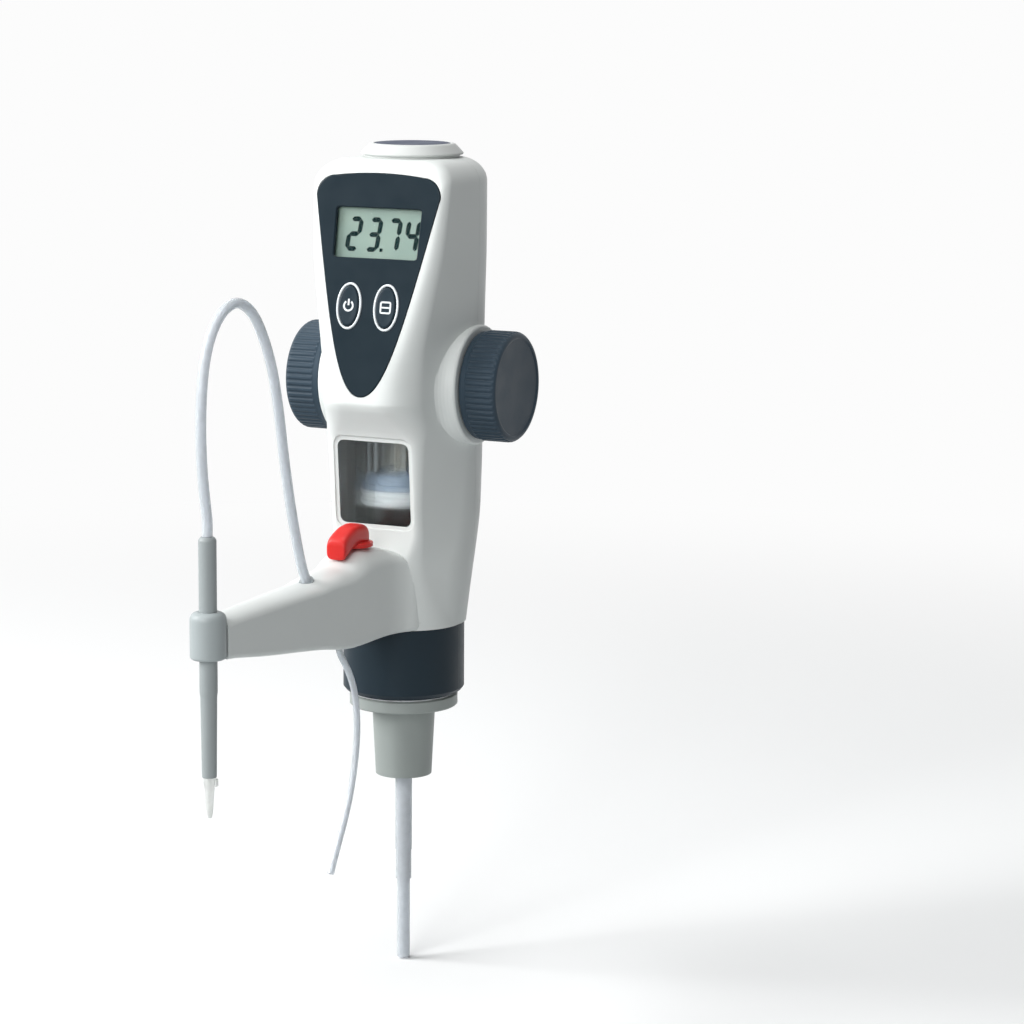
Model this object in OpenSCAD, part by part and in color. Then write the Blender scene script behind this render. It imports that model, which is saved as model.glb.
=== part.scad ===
// Digital bottle-top burette: a hand-turned piston head that screws into a bottle neck,
// with a front arm that carries the discharge valve and the titration tube.
// Millimetres, +Z up. The origin is the middle of the adapter flange's underside, where the
// bottle's rim lies. The arm points along -Y and the handwheels turn about X.

/* [Bottle joint] */
// Radius of the ground cone at its wide end
cone_r = 14.6; // [9:0.1:20]
// Length of the ground cone
cone_len = 32; // [20:1:45]
// Thickness of the adapter flange
flange_t = 6.5; // [3:0.5:10]
// Radius of the adapter flange
flange_r = 25; // [22:0.5:28]
// Radius of the adapter's screwed plug
plug_r = 20.8; // [16:0.1:22]
// Length of the adapter's screwed plug
plug_len = 12; // [8:1:14]

/* [Valve block] */
// Radius of the valve block
block_r = 28; // [26:0.5:32]
// Height of the valve block below the housing
block_h = 33.5; // [28:0.5:45]
// Radius of the valve block's neck inside the housing
neck_r = 25.4; // [24:0.1:25.6]
// Radius of the vent port's bore
vent_r = 2.2; // [1.5:0.1:3]

/* [Cylinder and piston] */
// Inner radius of the glass cylinder
bore_r = 20; // [16:0.5:21]
// Wall of the glass cylinder
glass_t = 2.3; // [1.5:0.1:3]
// Length of the glass cylinder
glass_len = 67; // [60:1:75]
// Travel of the piston from empty to full
stroke = 40; // [20:1:42]
// Height of the piston above its lowest place, as shown
piston_up = 22.7; // [0:0.1:40]
// Length of the piston seal
seal_h = 7.5; // [4:0.5:10]
// Height of the piston's carrier above the seal
carrier_h = 7.5; // [6:0.5:14]

/* [Housing] */
// Height of the housing's flat top above the bottle's rim
head_top_z = 252.5; // [245:0.5:262]
// Radius of the housing at its lower edge
skirt_r = 28.8; // [28.4:0.1:30]
// Half width of the housing at the handwheels
waist_r = 32.6; // [31.5:0.1:34]
// Half width of the housing at the display
head_r = 34; // [33:0.1:36]
// Wall of the housing
wall = 2.6; // [2:0.1:3.2]
// Rounding of the housing's top edge at the sides and the rear, measured across
shoulder_r = 13; // [9:0.5:14]
// Rounding of the housing's top edge at the sides and the rear, measured down
shoulder_h = 11; // [8:0.5:12]
// Rounding of the housing's top edge at the front
brow_r = 7; // [4:0.5:8]
// Radius of the top cap
cap_r = 23.4; // [20:0.1:25]
// Height of the top cap
cap_h = 6.2; // [4:0.1:9]

/* [Front panel] */
// Backward lean of the display face
lean = 11.5; // [0:0.1:15]
// Height of the panel's lower tip
tip_z = 148.3; // [144:0.1:152]
// Distance of the panel's lower tip in front of the bottle axis
tip_reach = 43.6; // [36:0.1:45]
// Width of the panel at its top
panel_w = 62; // [56:0.5:64]
// Length of the panel along the face
panel_len = 100.5; // [90:0.5:102]
// Thickness of the panel
panel_t = 2; // [1.5:0.1:3]
// Width of the display opening
lcd_w = 43; // [30:0.5:45]
// Height of the display opening
lcd_h = 22.6; // [14:0.2:24]
// Height of the display's middle above the tip, along the face
lcd_up = 73.6; // [70:0.1:78]
// Width of a button
button_w = 9.6; // [6:0.1:11]
// Height of a button
button_h = 18.2; // [12:0.1:21]
// Distance of a button from the middle of the panel
button_x = 9.3; // [8:0.1:10]
// Height of the buttons above the tip, along the face
button_up = 40.5; // [36:0.1:46]
// Depth that a button goes in
button_travel = 1; // [0.5:0.1:1.2]

/* [Window] */
// Height of the window's middle above the bottle's rim
window_z = 107.4; // [102:0.1:110]
// Width of the window opening
window_w = 36; // [24:0.5:36]
// Height of the window opening
window_h = 38.5; // [30:0.5:40]

/* [Drive] */
// Height of the handwheel shaft above the bottle's rim
wheel_z = 150; // [146:0.1:156]
// Distance of the handwheel shaft behind the bottle axis
wheel_y = 8.3; // [6:0.1:10]
// Radius of a handwheel over its ridges
wheel_r = 25.2; // [20:0.1:28]
// Thickness of a handwheel
wheel_t = 18; // [12:0.5:22]
// Distance of a handwheel's inner face from the middle
wheel_x = 35.3; // [35.2:0.1:38]
// Number of grip ridges round a handwheel
ridges = 56; // [36:2:80]
// Radius of the handwheel shaft
shaft_r = 2.5; // [2:0.1:2.7]
// Module of the gear teeth
gear_module = 0.7; // [0.65:0.01:0.75]
// Teeth of the drive pinion and the layshaft pinion
pinion_teeth = 12; // [12:1:14]
// Teeth of the two large gears
wheel_teeth = 45; // [40:1:46]
// Teeth of the pinion that moves the rack
rack_pinion_teeth = 16; // [15:1:18]
// Width of the large gears
gear_w = 4; // [3:0.5:5]

/* [Arm] */
// Distance of the titration tube in front of the bottle axis
arm_reach = 178.5; // [165:0.5:190]
// Height of the arm's ridge above the bottle's rim
arm_top_z = 72.8; // [70:0.1:76]
// Half width of the arm at the valve
arm_root_w = 12.8; // [11:0.1:14]
// Half width of the arm at its tip
arm_tip_w = 7.6; // [7:0.1:9]
// Wall of the arm
arm_wall = 2.4; // [1.8:0.1:3]
// Distance of the valve lever's axis in front of the bottle axis
lever_reach = 48; // [44:0.5:54]
// Length of the valve lever in front of its axis
lever_len = 18.5; // [14:0.5:22]
// Width of the valve lever
lever_w = 10; // [8:0.5:14]

/* [Titration tube] */
// Radius of the titration tube's sleeve
tube_r = 3.8; // [3.5:0.1:5]
// Radius of the sleeve at its lower end
tube_tip_r = 3.1; // [2.8:0.1:3.5]
// Length of the sleeve
tube_len = 102; // [85:1:120]
// Height of the sleeve's lower end above the bottle's rim
tube_z = 4.6; // [0:0.1:10]
// Length of the nozzle
nozzle_len = 17.5; // [10:0.5:24]
// Radius of the flexible tube
hose_r = 2.25; // [2:0.05:2.4]
// Radius of the clamp's collar
collar_r = 7.7; // [7.5:0.1:9.5]
// Height of the clamp's collar
collar_h = 20; // [12:0.5:22]

/* [Filling tube] */
// Radius of the fixed filling tube
fill_r = 3.9; // [3.4:0.1:4.2]
// Wall of both filling tubes
fill_wall = 0.9; // [0.6:0.1:1]
// Reach of the fixed filling tube below the bottle's rim
fill_len = 84; // [60:1:120]
// Reach of the sliding filling tube below the bottle's rim
slide_len = 122; // [110:1:160]

/* [Hidden] */

$fn = 64;
run = 0.05;      // radial clearance of a shaft in its bearing
slip = 0.3;      // gap between faces that slide or turn past each other
fit = 0.02;      // radial clearance of a piece that is pressed home
eps = 0.01;
big = 400;

// Heights of the main seats
block_z = flange_t;
skirt_z = block_z + block_h;
neck_top_z = skirt_z + 31.5;
glass_z = neck_top_z - 6;
glass_r = bore_r + glass_t;
glass_top_z = glass_z + glass_len;
port_z = glass_z - 4;
piston_low_z = neck_top_z + 0.3;
piston_z = piston_low_z + piston_up;
ring_top_z = glass_top_z + 3;
ring_r = glass_r + 2.2;

// Gear train
tooth_high = 0.8 * gear_module;
tooth_deep = 1.1 * gear_module;
pinion_pitch_r = gear_module * pinion_teeth / 2;
wheel_pitch_r = gear_module * wheel_teeth / 2;
rack_pitch_r = gear_module * rack_pinion_teeth / 2;
lay_z = wheel_z + pinion_pitch_r + wheel_pitch_r;
lay_r = 2;
rack_pitch = PI * gear_module;
rack_y = wheel_y - rack_pitch_r;
out_x = 8;
lay_x = out_x + gear_w + 1.5;
plate_x = lay_x + gear_w + 2.5;
plate_t = 3;
deck_t = 3;
deck_top_z = ring_top_z + deck_t;
bridge_z = lay_z + wheel_pitch_r + 2;
rack_half = 3;
rack_back = rack_y - 6.7;
rod_x = 9;
rod_y = -10;
rod_r = 1.6;

// Front face and window planes
face_low_z = tip_z - 3;
panel_front = 0.4;
panel_back = panel_front - panel_t;
lens_t = 1.2;
lcd_t = 3;
board_front = panel_back - lens_t - lcd_t;
board_t = 1.6;
window_tilt = 4.5;
window_y = -30.25;
pane_depth = 1.2;
recess = 3.4;
pane_t = 1.5;

// Cap, arm and tube
bulb_top_z = arm_top_z + 8.7;
exit_y = -93.5;
exit_z = arm_top_z + 0.4;
hose_y = -63.5;
spigot_len = 14;
exit_turn = 57;
collar_z = arm_top_z - 17.7;
tube_top_z = tube_z + tube_len;
vent_z = block_z + 18;

function face_y(z) = -tip_reach + (z - tip_z) * tan(lean);
function window_face_y(z) = window_y - (z - window_z) * tan(window_tilt);
side_len = 0.895 * panel_len;
function panel_half(up) = let (u = max(up, 0) / side_len) panel_w / 2 * pow(u, 0.48 + 0.15 * u);

// Housing sections: height, half width, rear arc's centre, front face, half width of the flat, corner radius
stations = [
  [skirt_z, skirt_r, 0, -skirt_r, 3, skirt_r - 3],
  [skirt_z + 16, skirt_r + 1.4, 0.16 * wheel_y, -skirt_r, 8, 18],
  [skirt_z + 31, skirt_r + 2.7, 0.35 * wheel_y, -skirt_r, 14, 9],
  [window_z - 24, waist_r - 0.4, 0.6 * wheel_y, window_face_y(window_z - 24), 18.5, 5],
  [window_z - 14, waist_r - 0.1, 0.75 * wheel_y, window_face_y(window_z - 14), 19.3, 4],
  [window_z + 18, waist_r, 0.97 * wheel_y, window_face_y(window_z + 18), 18.8, 6],
  [tip_z - 18.5, waist_r, wheel_y, -tip_reach + 10.5, 17, 8.5],
  [tip_z - 14, waist_r, wheel_y, -tip_reach + 7.4, 13.5, 12],
  [tip_z - 9, waist_r, wheel_y, -tip_reach + 3.1, 10, 15.5],
  [tip_z - 6, waist_r, wheel_y, -tip_reach + 0.6, 8.6, 16.8],
  [face_low_z, waist_r, wheel_y, face_y(face_low_z), 8, 17.3],
  [tip_z + 8, waist_r + 0.1, wheel_y, face_y(tip_z + 8), 10, 15.5],
  [tip_z + 23, waist_r + 0.4, wheel_y, face_y(tip_z + 23), 15.6, 11],
  [tip_z + 41, head_r - 0.6, wheel_y, face_y(tip_z + 41), 20.8, 8.5],
  [tip_z + 63, head_r - 0.1, wheel_y, face_y(tip_z + 63), 26, 6.6],
  [tip_z + 89, head_r, wheel_y, face_y(tip_z + 89), panel_w / 2 - 1.2, 4.4],
  [head_top_z, head_r, wheel_y, face_y(head_top_z), panel_w / 2 - 1.2, 4.4]];

// Arm sections: distance in front of the axis, half width, underside, ridge, drop from ridge to side
arm_stations = [
  [10, arm_root_w + 1.4, skirt_z, arm_top_z + 0.7, 4],
  [25, arm_root_w + 0.6, skirt_z, arm_top_z + 4, 6],
  [35, arm_root_w + 0.2, skirt_z, arm_top_z + 6.8, 7.6],
  [lever_reach, arm_root_w, skirt_z, bulb_top_z - 0.1, 8.8],
  [56, arm_root_w - 0.1, skirt_z, bulb_top_z - 0.5, 8.9],
  [60, arm_root_w - 0.2, skirt_z, bulb_top_z - 1.5, 8.8],
  [63, arm_root_w - 0.3, skirt_z, bulb_top_z - 2.9, 8.4],
  [66, arm_root_w - 0.35, skirt_z + 0.1, bulb_top_z - 4.3, 7.8],
  [70, arm_root_w - 0.4, skirt_z + 0.2, bulb_top_z - 5.6, 7.1],
  [78, arm_root_w - 0.7, skirt_z + 1, bulb_top_z - 6.3, 6.2],
  [84, arm_root_w - 1, skirt_z + 1.9, bulb_top_z - 6.9, 5.4],
  [90, arm_root_w - 1.3, skirt_z + 3, exit_z + 0.8, 4.8],
  [97, arm_root_w - 1.7, skirt_z + 4.2, arm_top_z + 0.2, 4.3],
  [112, arm_root_w - 2.4, skirt_z + 6.2, arm_top_z, 4],
  [arm_reach - 36, arm_root_w - 3.7, skirt_z + 10, arm_top_z - 0.3, 4],
  [arm_reach - 12, arm_tip_w + 0.4, skirt_z + 13.6, arm_top_z - 0.8, 3.8],
  [arm_reach - 4, arm_tip_w, skirt_z + 14.4, arm_top_z - 1.1, 3.8]];

// Flexible tubes: points along each middle line
loop_route = [[0, exit_y, exit_z], [0, -99, 83.5], [0, -107, 107], [0, -113, 130], [0, -118, 153],
  [0, -124, 172], [0, -133, 188], [0, -142, 197], [0, -153, 201], [0, -164, 198.5], [0, -173, 191],
  [0, -179, 180], [0, -182, 166], [0, -183, 150], [0, -182, 134], [0, -180, 121.5],
  [0, -arm_reach, 113.5], [0, -arm_reach, tube_top_z + 0.15]];
hose_route = [[0, hose_y, skirt_z - 0.2], [0, hose_y, 37.5], [0, -61.8, 34], [0, -58.5, 30.2], [0, -54, 24.5],
  [0, -50, 17.5], [0, -47.5, 9], [0, -46.5, 0], [0, -47, -9], [0, -49, -19], [0, -53, -31],
  [0, -58.5, -42], [0, -66, -54], [0, -72, -64]];
return_r = 1.5;

// Smooth curve through a table's rows, read at x from column c
function row_slope(k, i, c) = i == 0 ? (k[1][c] - k[0][c]) / (k[1][0] - k[0][0]) :
  i == len(k) - 1 ? (k[i][c] - k[i - 1][c]) / (k[i][0] - k[i - 1][0]) :
  (k[i + 1][c] - k[i - 1][c]) / (k[i + 1][0] - k[i - 1][0]);
function row_at(k, x, i = 0) = i >= len(k) - 2 || x < k[i + 1][0] ? i : row_at(k, x, i + 1);
function smooth(k, x, c) = let (
    v = min(max(x, k[0][0]), k[len(k) - 1][0]),
    i = row_at(k, v),
    h = k[i + 1][0] - k[i][0],
    t = (v - k[i][0]) / h)
  (1 + 2 * t) * (1 - t) * (1 - t) * k[i][c] + t * (1 - t) * (1 - t) * h * row_slope(k, i, c)
  + t * t * (3 - 2 * t) * k[i + 1][c] - t * t * (1 - t) * h * row_slope(k, i + 1, c);

// One level of the housing, moved inward by its wall: rear arc, flat sides, two front corners.
// Each rounded top edge is a quarter ellipse; the front's is smaller, and the corners make up the difference.
function front_at(z) = z >= face_low_z ? face_y(z) : smooth(stations, z, 3);
function inset_at(z, inward, across, down) = let (
    up = max(z - (head_top_z - down), 0) / (down - inward))
  inward + (across - inward) * (1 - sqrt(max(1 - up * up, 0)));
function head_ring(z, inward, rear_steps, corner_steps) = let (
    t = inset_at(z, inward, shoulder_r, shoulder_h),
    brow = inset_at(z, inward, brow_r, brow_r),
    rounder = max(t - brow, 0),
    a = smooth(stations, z, 1) - t,
    rear = smooth(stations, z, 2),
    corner = smooth(stations, z, 5),
    rho = max(corner - brow, 1.2) + rounder,
    half = smooth(stations, z, 4) - max(0, brow - (corner - 1.2)) - 2 * rounder,
    mid = front_at(z) + brow + rho,
    side = atan2(mid - rear, half) + acos((a - rho) / norm([half, mid - rear])))
  [for (i = [0:rear_steps]) let (p = side + i * (180 - 2 * side) / rear_steps)
      [a * cos(p), rear + a * sin(p), z],
   for (i = [0:corner_steps]) let (p = 180 - side + i * (90 + side) / corner_steps)
      [-half + rho * cos(p), mid + rho * sin(p), z],
   for (i = [0:corner_steps]) let (p = 270 + i * (90 + side) / corner_steps)
      [half + rho * cos(p), mid + rho * sin(p), z]];

// One section of the arm, moved inward by its wall: a crowned top, flat sides and a flat floor
function arm_ring(reach, inward, crown_steps) = let (
    w = smooth(arm_stations, reach, 1) - inward,
    low = smooth(arm_stations, reach, 2) + inward,
    top = smooth(arm_stations, reach, 3) - inward,
    drop = smooth(arm_stations, reach, 4),
    r = 2.5)
  [for (i = [0:crown_steps]) let (p = 180 * i / crown_steps) [w * cos(p), -reach, top - drop + drop * sin(p)],
   for (i = [0:2]) let (p = 180 + 45 * i) [-w + r + r * cos(p), -reach, low + r + r * sin(p)],
   for (i = [0:2]) let (p = 270 + 45 * i) [w - r + r * cos(p), -reach, low + r + r * sin(p)]];

module skin(rings) {
  n = len(rings[0]);
  last = len(rings) - 1;
  polyhedron(
    points = [for (ring = rings) each ring],
    faces = concat(
      [[for (i = [0:n - 1]) i]],
      [[for (i = [n - 1:-1:0]) last * n + i]],
      [for (j = [0:last - 1], i = [0:n - 1]) [j * n + i, (j + 1) * n + i, (j + 1) * n + (i + 1) % n]],
      [for (j = [0:last - 1], i = [0:n - 1]) [j * n + i, (j + 1) * n + (i + 1) % n, j * n + (i + 1) % n]]));
}

// Heights at which the housing's levels are drawn
side_levels = [skirt_z + 8, skirt_z + 16, skirt_z + 24, skirt_z + 31, skirt_z + 37,
  window_z - 24, window_z - 19, window_z - 14, window_z, window_z + 11, window_z + 18,
  tip_z - 18.5, tip_z - 14, tip_z - 11.5, tip_z - 9, tip_z - 6, face_low_z, tip_z + 3, tip_z + 8,
  tip_z + 15, tip_z + 23, tip_z + 32, tip_z + 41, tip_z + 52, tip_z + 63, tip_z + 76, tip_z + 89];
inner_levels = [for (i = [0:2:len(side_levels) - 1]) side_levels[i]];
function shoulder_levels(inward, steps) =
  [for (i = [0:steps]) head_top_z - shoulder_h + (shoulder_h - inward) * sin(90 * i / steps)];

module head_solid(inward, down) {
  levels = inward == 0
    ? concat([skirt_z], side_levels, shoulder_levels(0, 6))
    : concat([skirt_z - down], inner_levels, shoulder_levels(inward, 3));
  skin([for (z = levels) head_ring(z, inward, inward == 0 ? 22 : 14, inward == 0 ? 5 : 3)]);
}

arm_levels = [for (row = arm_stations) row[0]];
module arm_solid(inward, from, to) {
  skin([for (reach = concat([from], [for (r = arm_levels) if (r > from && r < to) r], [to]))
    arm_ring(reach, inward, inward == 0 ? 12 : 8)]);
}

// Frame on the leaning face: x to the right, y up the face, z out of it, from the panel's tip
module on_face() {
  translate([0, -tip_reach, tip_z]) rotate([90 - lean, 0, 0]) children();
}
module on_window() {
  translate([0, window_y, window_z]) rotate([90 + window_tilt, 0, 0]) children();
}
module along_x(x, y, z) {
  translate([x, y, z]) rotate([90, 0, 90]) children();
}

// Shield outline of the panel: curved sides that meet in a rounded tip, and a slightly arched top
function shield(inward) = let (
    n = 20,
    side_top = side_len - inward,
    right = [for (i = [0:n]) let (up = side_top * pow(i / n, 2.2))
      [max(panel_half(up) - inward * (i / n < 0.15 ? 0.4 : 1), 0), up + inward * (1 - i / n) * 1.1]],
    w = right[n][0],
    top = panel_len - inward,
    crown = 1.5,
    r = 9)
  concat(
    [for (i = [1:n]) right[i]],
    [for (i = [1:4]) let (p = 22.5 * i) [w - r + r * cos(p), top - crown - r + r * sin(p)]],
    [for (i = [3:-1:-3]) let (x = (w - r) * i / 4) [x, top - crown * pow(x / (w - r), 2)]],
    [for (i = [4:-1:1]) let (p = 22.5 * i) [-w + r - r * cos(p), top - crown - r + r * sin(p)]],
    [for (i = [n:-1:1]) [-right[i][0], right[i][1]]]);

module oval(w, h) {
  polygon([for (k = [0:47]) [w / 2 * cos(7.5 * k), h / 2 * sin(7.5 * k)]]);
}
module rounded(w, h, r) {
  square([w - 2 * r, h], center = true);
  square([w, h - 2 * r], center = true);
  for (sx = [-1, 1], sy = [-1, 1]) translate([sx * (w / 2 - r), sy * (h / 2 - r)]) circle(r);
}
module at_buttons() {
  for (side = [-1, 1]) translate([side * button_x, button_up]) children();
}

// Involute gear outline with one tooth on the +x axis; the teeth are thinned for backlash
function roll(r, base) = r <= base ? 0 : sqrt(r * r / (base * base) - 1) * 180 / PI - acos(base / r);
module gear_outline(teeth, bore) {
  pitch_r = gear_module * teeth / 2;
  base = pitch_r * cos(20);
  tip = pitch_r + tooth_high;
  root = pitch_r - tooth_deep;
  half = 90 / teeth - 0.06 / pitch_r * 180 / PI + roll(pitch_r, base);
  steps = 4;
  low = max(base, root);
  flank = [for (i = [0:steps]) let (r = low + (tip - low) * i / steps) [r, half - roll(r, base)]];
  difference() {
    polygon([for (k = [0:teeth - 1]) let (turn = 360 * k / teeth) each concat(
      [[root * cos(turn - half), root * sin(turn - half)]],
      [for (p = flank) [p[0] * cos(turn - p[1]), p[0] * sin(turn - p[1])]],
      [for (i = [steps:-1:0]) [flank[i][0] * cos(turn + flank[i][1]), flank[i][0] * sin(turn + flank[i][1])]],
      [[root * cos(turn + half), root * sin(turn + half)]])]);
    circle(bore);
  }
}

// Fixed filling side: adapter, seals and valve block
module valve_block() {
  color("#2b3947") difference() {
    union() {
      rotate_extrude() polygon([[0, block_z], [block_r - 3.2, block_z], [block_r - 3.2, block_z + 1],
        [block_r - 1.2, block_z + 1], [block_r, block_z + 2.6], [block_r, skirt_z], [neck_r, skirt_z],
        [neck_r, neck_top_z], [0, neck_top_z]]);
      translate([0, 0, vent_z]) rotate([-90, 0, 0]) cylinder(h = block_r + 4, r = 4.6);
    }
    translate([0, 0, block_z - eps]) cylinder(h = plug_len + 1, r = plug_r + 0.2);
    translate([0, 0, block_z + plug_len]) cylinder(h = 7, r = fill_r + fit);
    translate([0, 0, block_z + plug_len + 6]) cylinder(h = 12, r = 5);
    cylinder(h = big, r = 2);
    difference() {
      translate([0, 0, glass_z]) cylinder(h = 10, r = glass_r + fit);
      translate([0, 0, glass_z - 1]) cylinder(h = 12, r = bore_r - 0.4);
    }
    translate([0, 0, port_z]) rotate([90, 0, 0]) cylinder(h = big, r = 1.6);
    translate([0, -neck_r + 3, port_z]) rotate([90, 0, 0]) cylinder(h = 10, r = 2.4);
    translate([0, block_r - 4, vent_z]) rotate([-90, 0, 0]) cylinder(h = 20, r = vent_r);
    translate([0, block_r - 3.5, block_z + 5]) cylinder(h = vent_z - block_z - 5, r = 1);
  }
}
module bottle_adapter() {
  color("#8d9496") difference() {
    rotate_extrude() polygon([[0, -1 - cone_len], [cone_r - cone_len / 20, -1 - cone_len], [cone_r, -1],
      [cone_r, 0], [flange_r - 0.6, 0], [flange_r, 0.6], [flange_r, flange_t - 1.4],
      [flange_r - 0.8, flange_t - 0.8], [plug_r, flange_t - 0.8], [plug_r, flange_t + plug_len - 1],
      [plug_r - 1, flange_t + plug_len], [0, flange_t + plug_len]]);
    rotate_extrude() polygon([[0, -2 - cone_len], [cone_r - cone_len / 20 - 2, -2 - cone_len],
      [cone_r - 2.2, 1], [plug_r - 3.5, flange_t + 1], [plug_r - 3.5, flange_t + plug_len + 1],
      [0, flange_t + plug_len + 1]]);
  }
}
module adapter_seal() {
  color("#c9cdcb") translate([0, 0, flange_t - 0.8 + eps]) difference() {
    cylinder(h = 0.8 - 2 * eps, r = flange_r - 1.2);
    translate([0, 0, -1]) cylinder(h = 3, r = plug_r + 0.1);
  }
}
module inlet_seat() {
  color("#d9dcd8") difference() {
    translate([0, 0, block_z + plug_len + 7]) cylinder(h = 5, r = 5 - fit);
    translate([0, 0, block_z + plug_len + 6]) cylinder(h = 8, r = 1.8);
    translate([0, 0, block_z + plug_len + 11]) cylinder(h = 2, r1 = 1.8, r2 = 3);
  }
}
module inlet_ball() {
  color("#f2f2ee") translate([0, 0, block_z + plug_len + 13.9]) sphere(r = 2.5);
}
module filling_tube() {
  color("#cfd4d3") difference() {
    union() {
      translate([0, 0, spigot_len - fill_len]) cylinder(h = fill_len - spigot_len + block_z + plug_len + 6.9, r = fill_r);
      translate([0, 0, -fill_len]) cylinder(h = spigot_len + 1, r = fill_r - 0.3);
    }
    translate([0, 0, -fill_len - 1]) cylinder(h = big, r = fill_r - fill_wall);
  }
}
module filling_tube_slide() {
  color("#e3e6e4") difference() {
    translate([0, 0, -slide_len]) cylinder(h = slide_len - 46, r = fill_r - fill_wall - run);
    translate([0, 0, -slide_len - 1]) cylinder(h = slide_len, r = fill_r - 2 * fill_wall - run);
    translate([-5, 0, -slide_len - 4]) rotate([0, 25, 0]) cube([20, 20, 5], center = true);
  }
}

// Housing shells
module wheel_pod(grow) {
  rotate_extrude() polygon([[0, 20], [22 - grow, 20], [27.4 - grow, 30.5], [27.4 - grow, 33.6 - grow / 2],
    [26.2 - grow, wheel_x - 0.4 - grow], [0, wheel_x - 0.4 - grow]]);
}
// A concave ring that leads from the housing's side onto the pod, at the front only
module pod_foot() {
  rotate_extrude() polygon([[24, 26], [33.5, 26.6], [31, 28], [29.2, 29.8], [28, 32], [27.4, 33.4],
    [24, 33.4]]);
}
module at_wheels() {
  for (side = [0, 1]) mirror([side, 0, 0]) translate([0, wheel_y, wheel_z]) rotate([0, 90, 0]) children();
}
module wheel_pods(grow) {
  at_wheels() wheel_pod(grow);
}
upper_boss = [28, tip_z + 85, 4];
lower_boss = [26.4, skirt_z + 40, 3.2];
screw_seat_y = wheel_y + 5.7;
module at_bosses() {
  for (boss = [upper_boss, lower_boss], side = [-1, 1])
    translate([side * boss[0], wheel_y, boss[1]]) rotate([-90, 0, 0]) let ($boss_r = boss[2]) children();
}
module front_half() {
  translate([-big / 2, wheel_y - big, -big / 2]) cube([big, big, 2 * big]);
}
module rear_half() {
  translate([-big / 2, wheel_y, -big / 2]) cube([big, big, 2 * big]);
}
module window_frame(w, h, r, out, depth) {
  translate([0, 0, out - depth]) linear_extrude(depth) rounded(w, h, r);
}
module front_housing() {
  color("#e4e8e6") difference() {
    union() {
      intersection() {
        head_solid(0);
        front_half();
      }
      intersection() {
        union() {
          wheel_pods(0);
          at_wheels() pod_foot();
        }
        front_half();
      }
      arm_solid(0, 12, arm_reach - 4);
    }
    difference() {
      head_solid(wall, 2);
      intersection() {
        at_bosses() translate([0, 0, -10]) cylinder(h = 10, r = $boss_r);
        front_half();
      }
    }
    wheel_pods(wall);
    arm_solid(arm_wall, 11, arm_reach - 7.5);
    on_face() {
      translate([0, 0, panel_back]) linear_extrude(10) polygon(shield(-0.15));
      translate([0, 0, -9]) linear_extrude(10) polygon(shield(1.8));
    }
    on_window() {
      window_frame(window_w + recess, window_h + recess, 4.5, 1, 1.6);
      window_frame(window_w, window_h, 3.2, 1, 12);
      window_frame(window_w + 4.4, window_h + 4.4, 2, -pane_depth, 6);
    }
    at_bosses() translate([0, 0, -9]) cylinder(h = 20, r = 1.4);
    translate([0, wheel_y, wheel_z]) rotate([0, 90, 0]) cylinder(h = 2 * wheel_x, r = 5.5, center = true);
    translate([0, wheel_y, head_top_z - wall - 1]) cylinder(h = 10, r = 16.2);
    translate([0, -lever_reach, skirt_z + 10]) cylinder(h = 50, r = 3.4);
    translate([0, exit_y, exit_z]) rotate([90 - exit_turn, 0, 0]) {
      cylinder(h = 16, r = 3, center = true);
      translate([0, 0, -0.7]) cylinder(h = 8, r = 3.4);
    }
    translate([0, hose_y, skirt_z]) cylinder(h = 8, r = 1.7, center = true);
    translate([0, -arm_reach, 0]) cylinder(h = big, r = collar_r + slip);
    translate([-4.3, -arm_reach, collar_z + 4.9]) cube([8.6, 20, 8.6]);
  }
}
door_w = 26;
door_low_z = tip_z + 12;
door_high_z = tip_z + 64;
hinge_y = wheel_y + 32.8;
hinge_r = 0.8;
module door_hinge(w, r) {
  translate([0, hinge_y, door_low_z]) rotate([0, 90, 0]) cylinder(h = w, r = r, center = true);
}
module door_block(grow) {
  translate([-door_w / 2 - grow, wheel_y + 20, door_low_z - grow])
    cube([door_w + 2 * grow, 30, door_high_z - door_low_z + 2 * grow]);
}
module rear_housing() {
  color("#dde1df") difference() {
    intersection() {
      union() {
        head_solid(0);
        wheel_pods(0);
      }
      rear_half();
    }
    difference() {
      head_solid(wall, 2);
      at_bosses() cylinder(h = 40, r = $boss_r + 0.8);
    }
    wheel_pods(wall);
    at_bosses() translate([0, 0, -1]) cylinder(h = 20, r = 1.6);
    at_bosses() translate([0, 0, screw_seat_y - wheel_y]) cylinder(h = 40, r = 3.1);
    translate([0, wheel_y, wheel_z]) rotate([0, 90, 0]) cylinder(h = 2 * wheel_x, r = 5.5, center = true);
    translate([0, wheel_y, head_top_z - wall - 1]) cylinder(h = 10, r = 16.2);
    door_block(slip);
    door_hinge(7.6, hinge_r + slip);
  }
}
module case_screws() {
  color("#8f9498") at_bosses() {
    translate([0, 0, -8]) cylinder(h = 8 + screw_seat_y - wheel_y, r = 1.35);
    difference() {
      translate([0, 0, screw_seat_y - wheel_y + eps]) cylinder(h = 2.2, r = 2.8);
      translate([0, 0, screw_seat_y - wheel_y + 1.2]) cylinder(h = 2, r = 1.3, $fn = 6);
    }
  }
}
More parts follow.
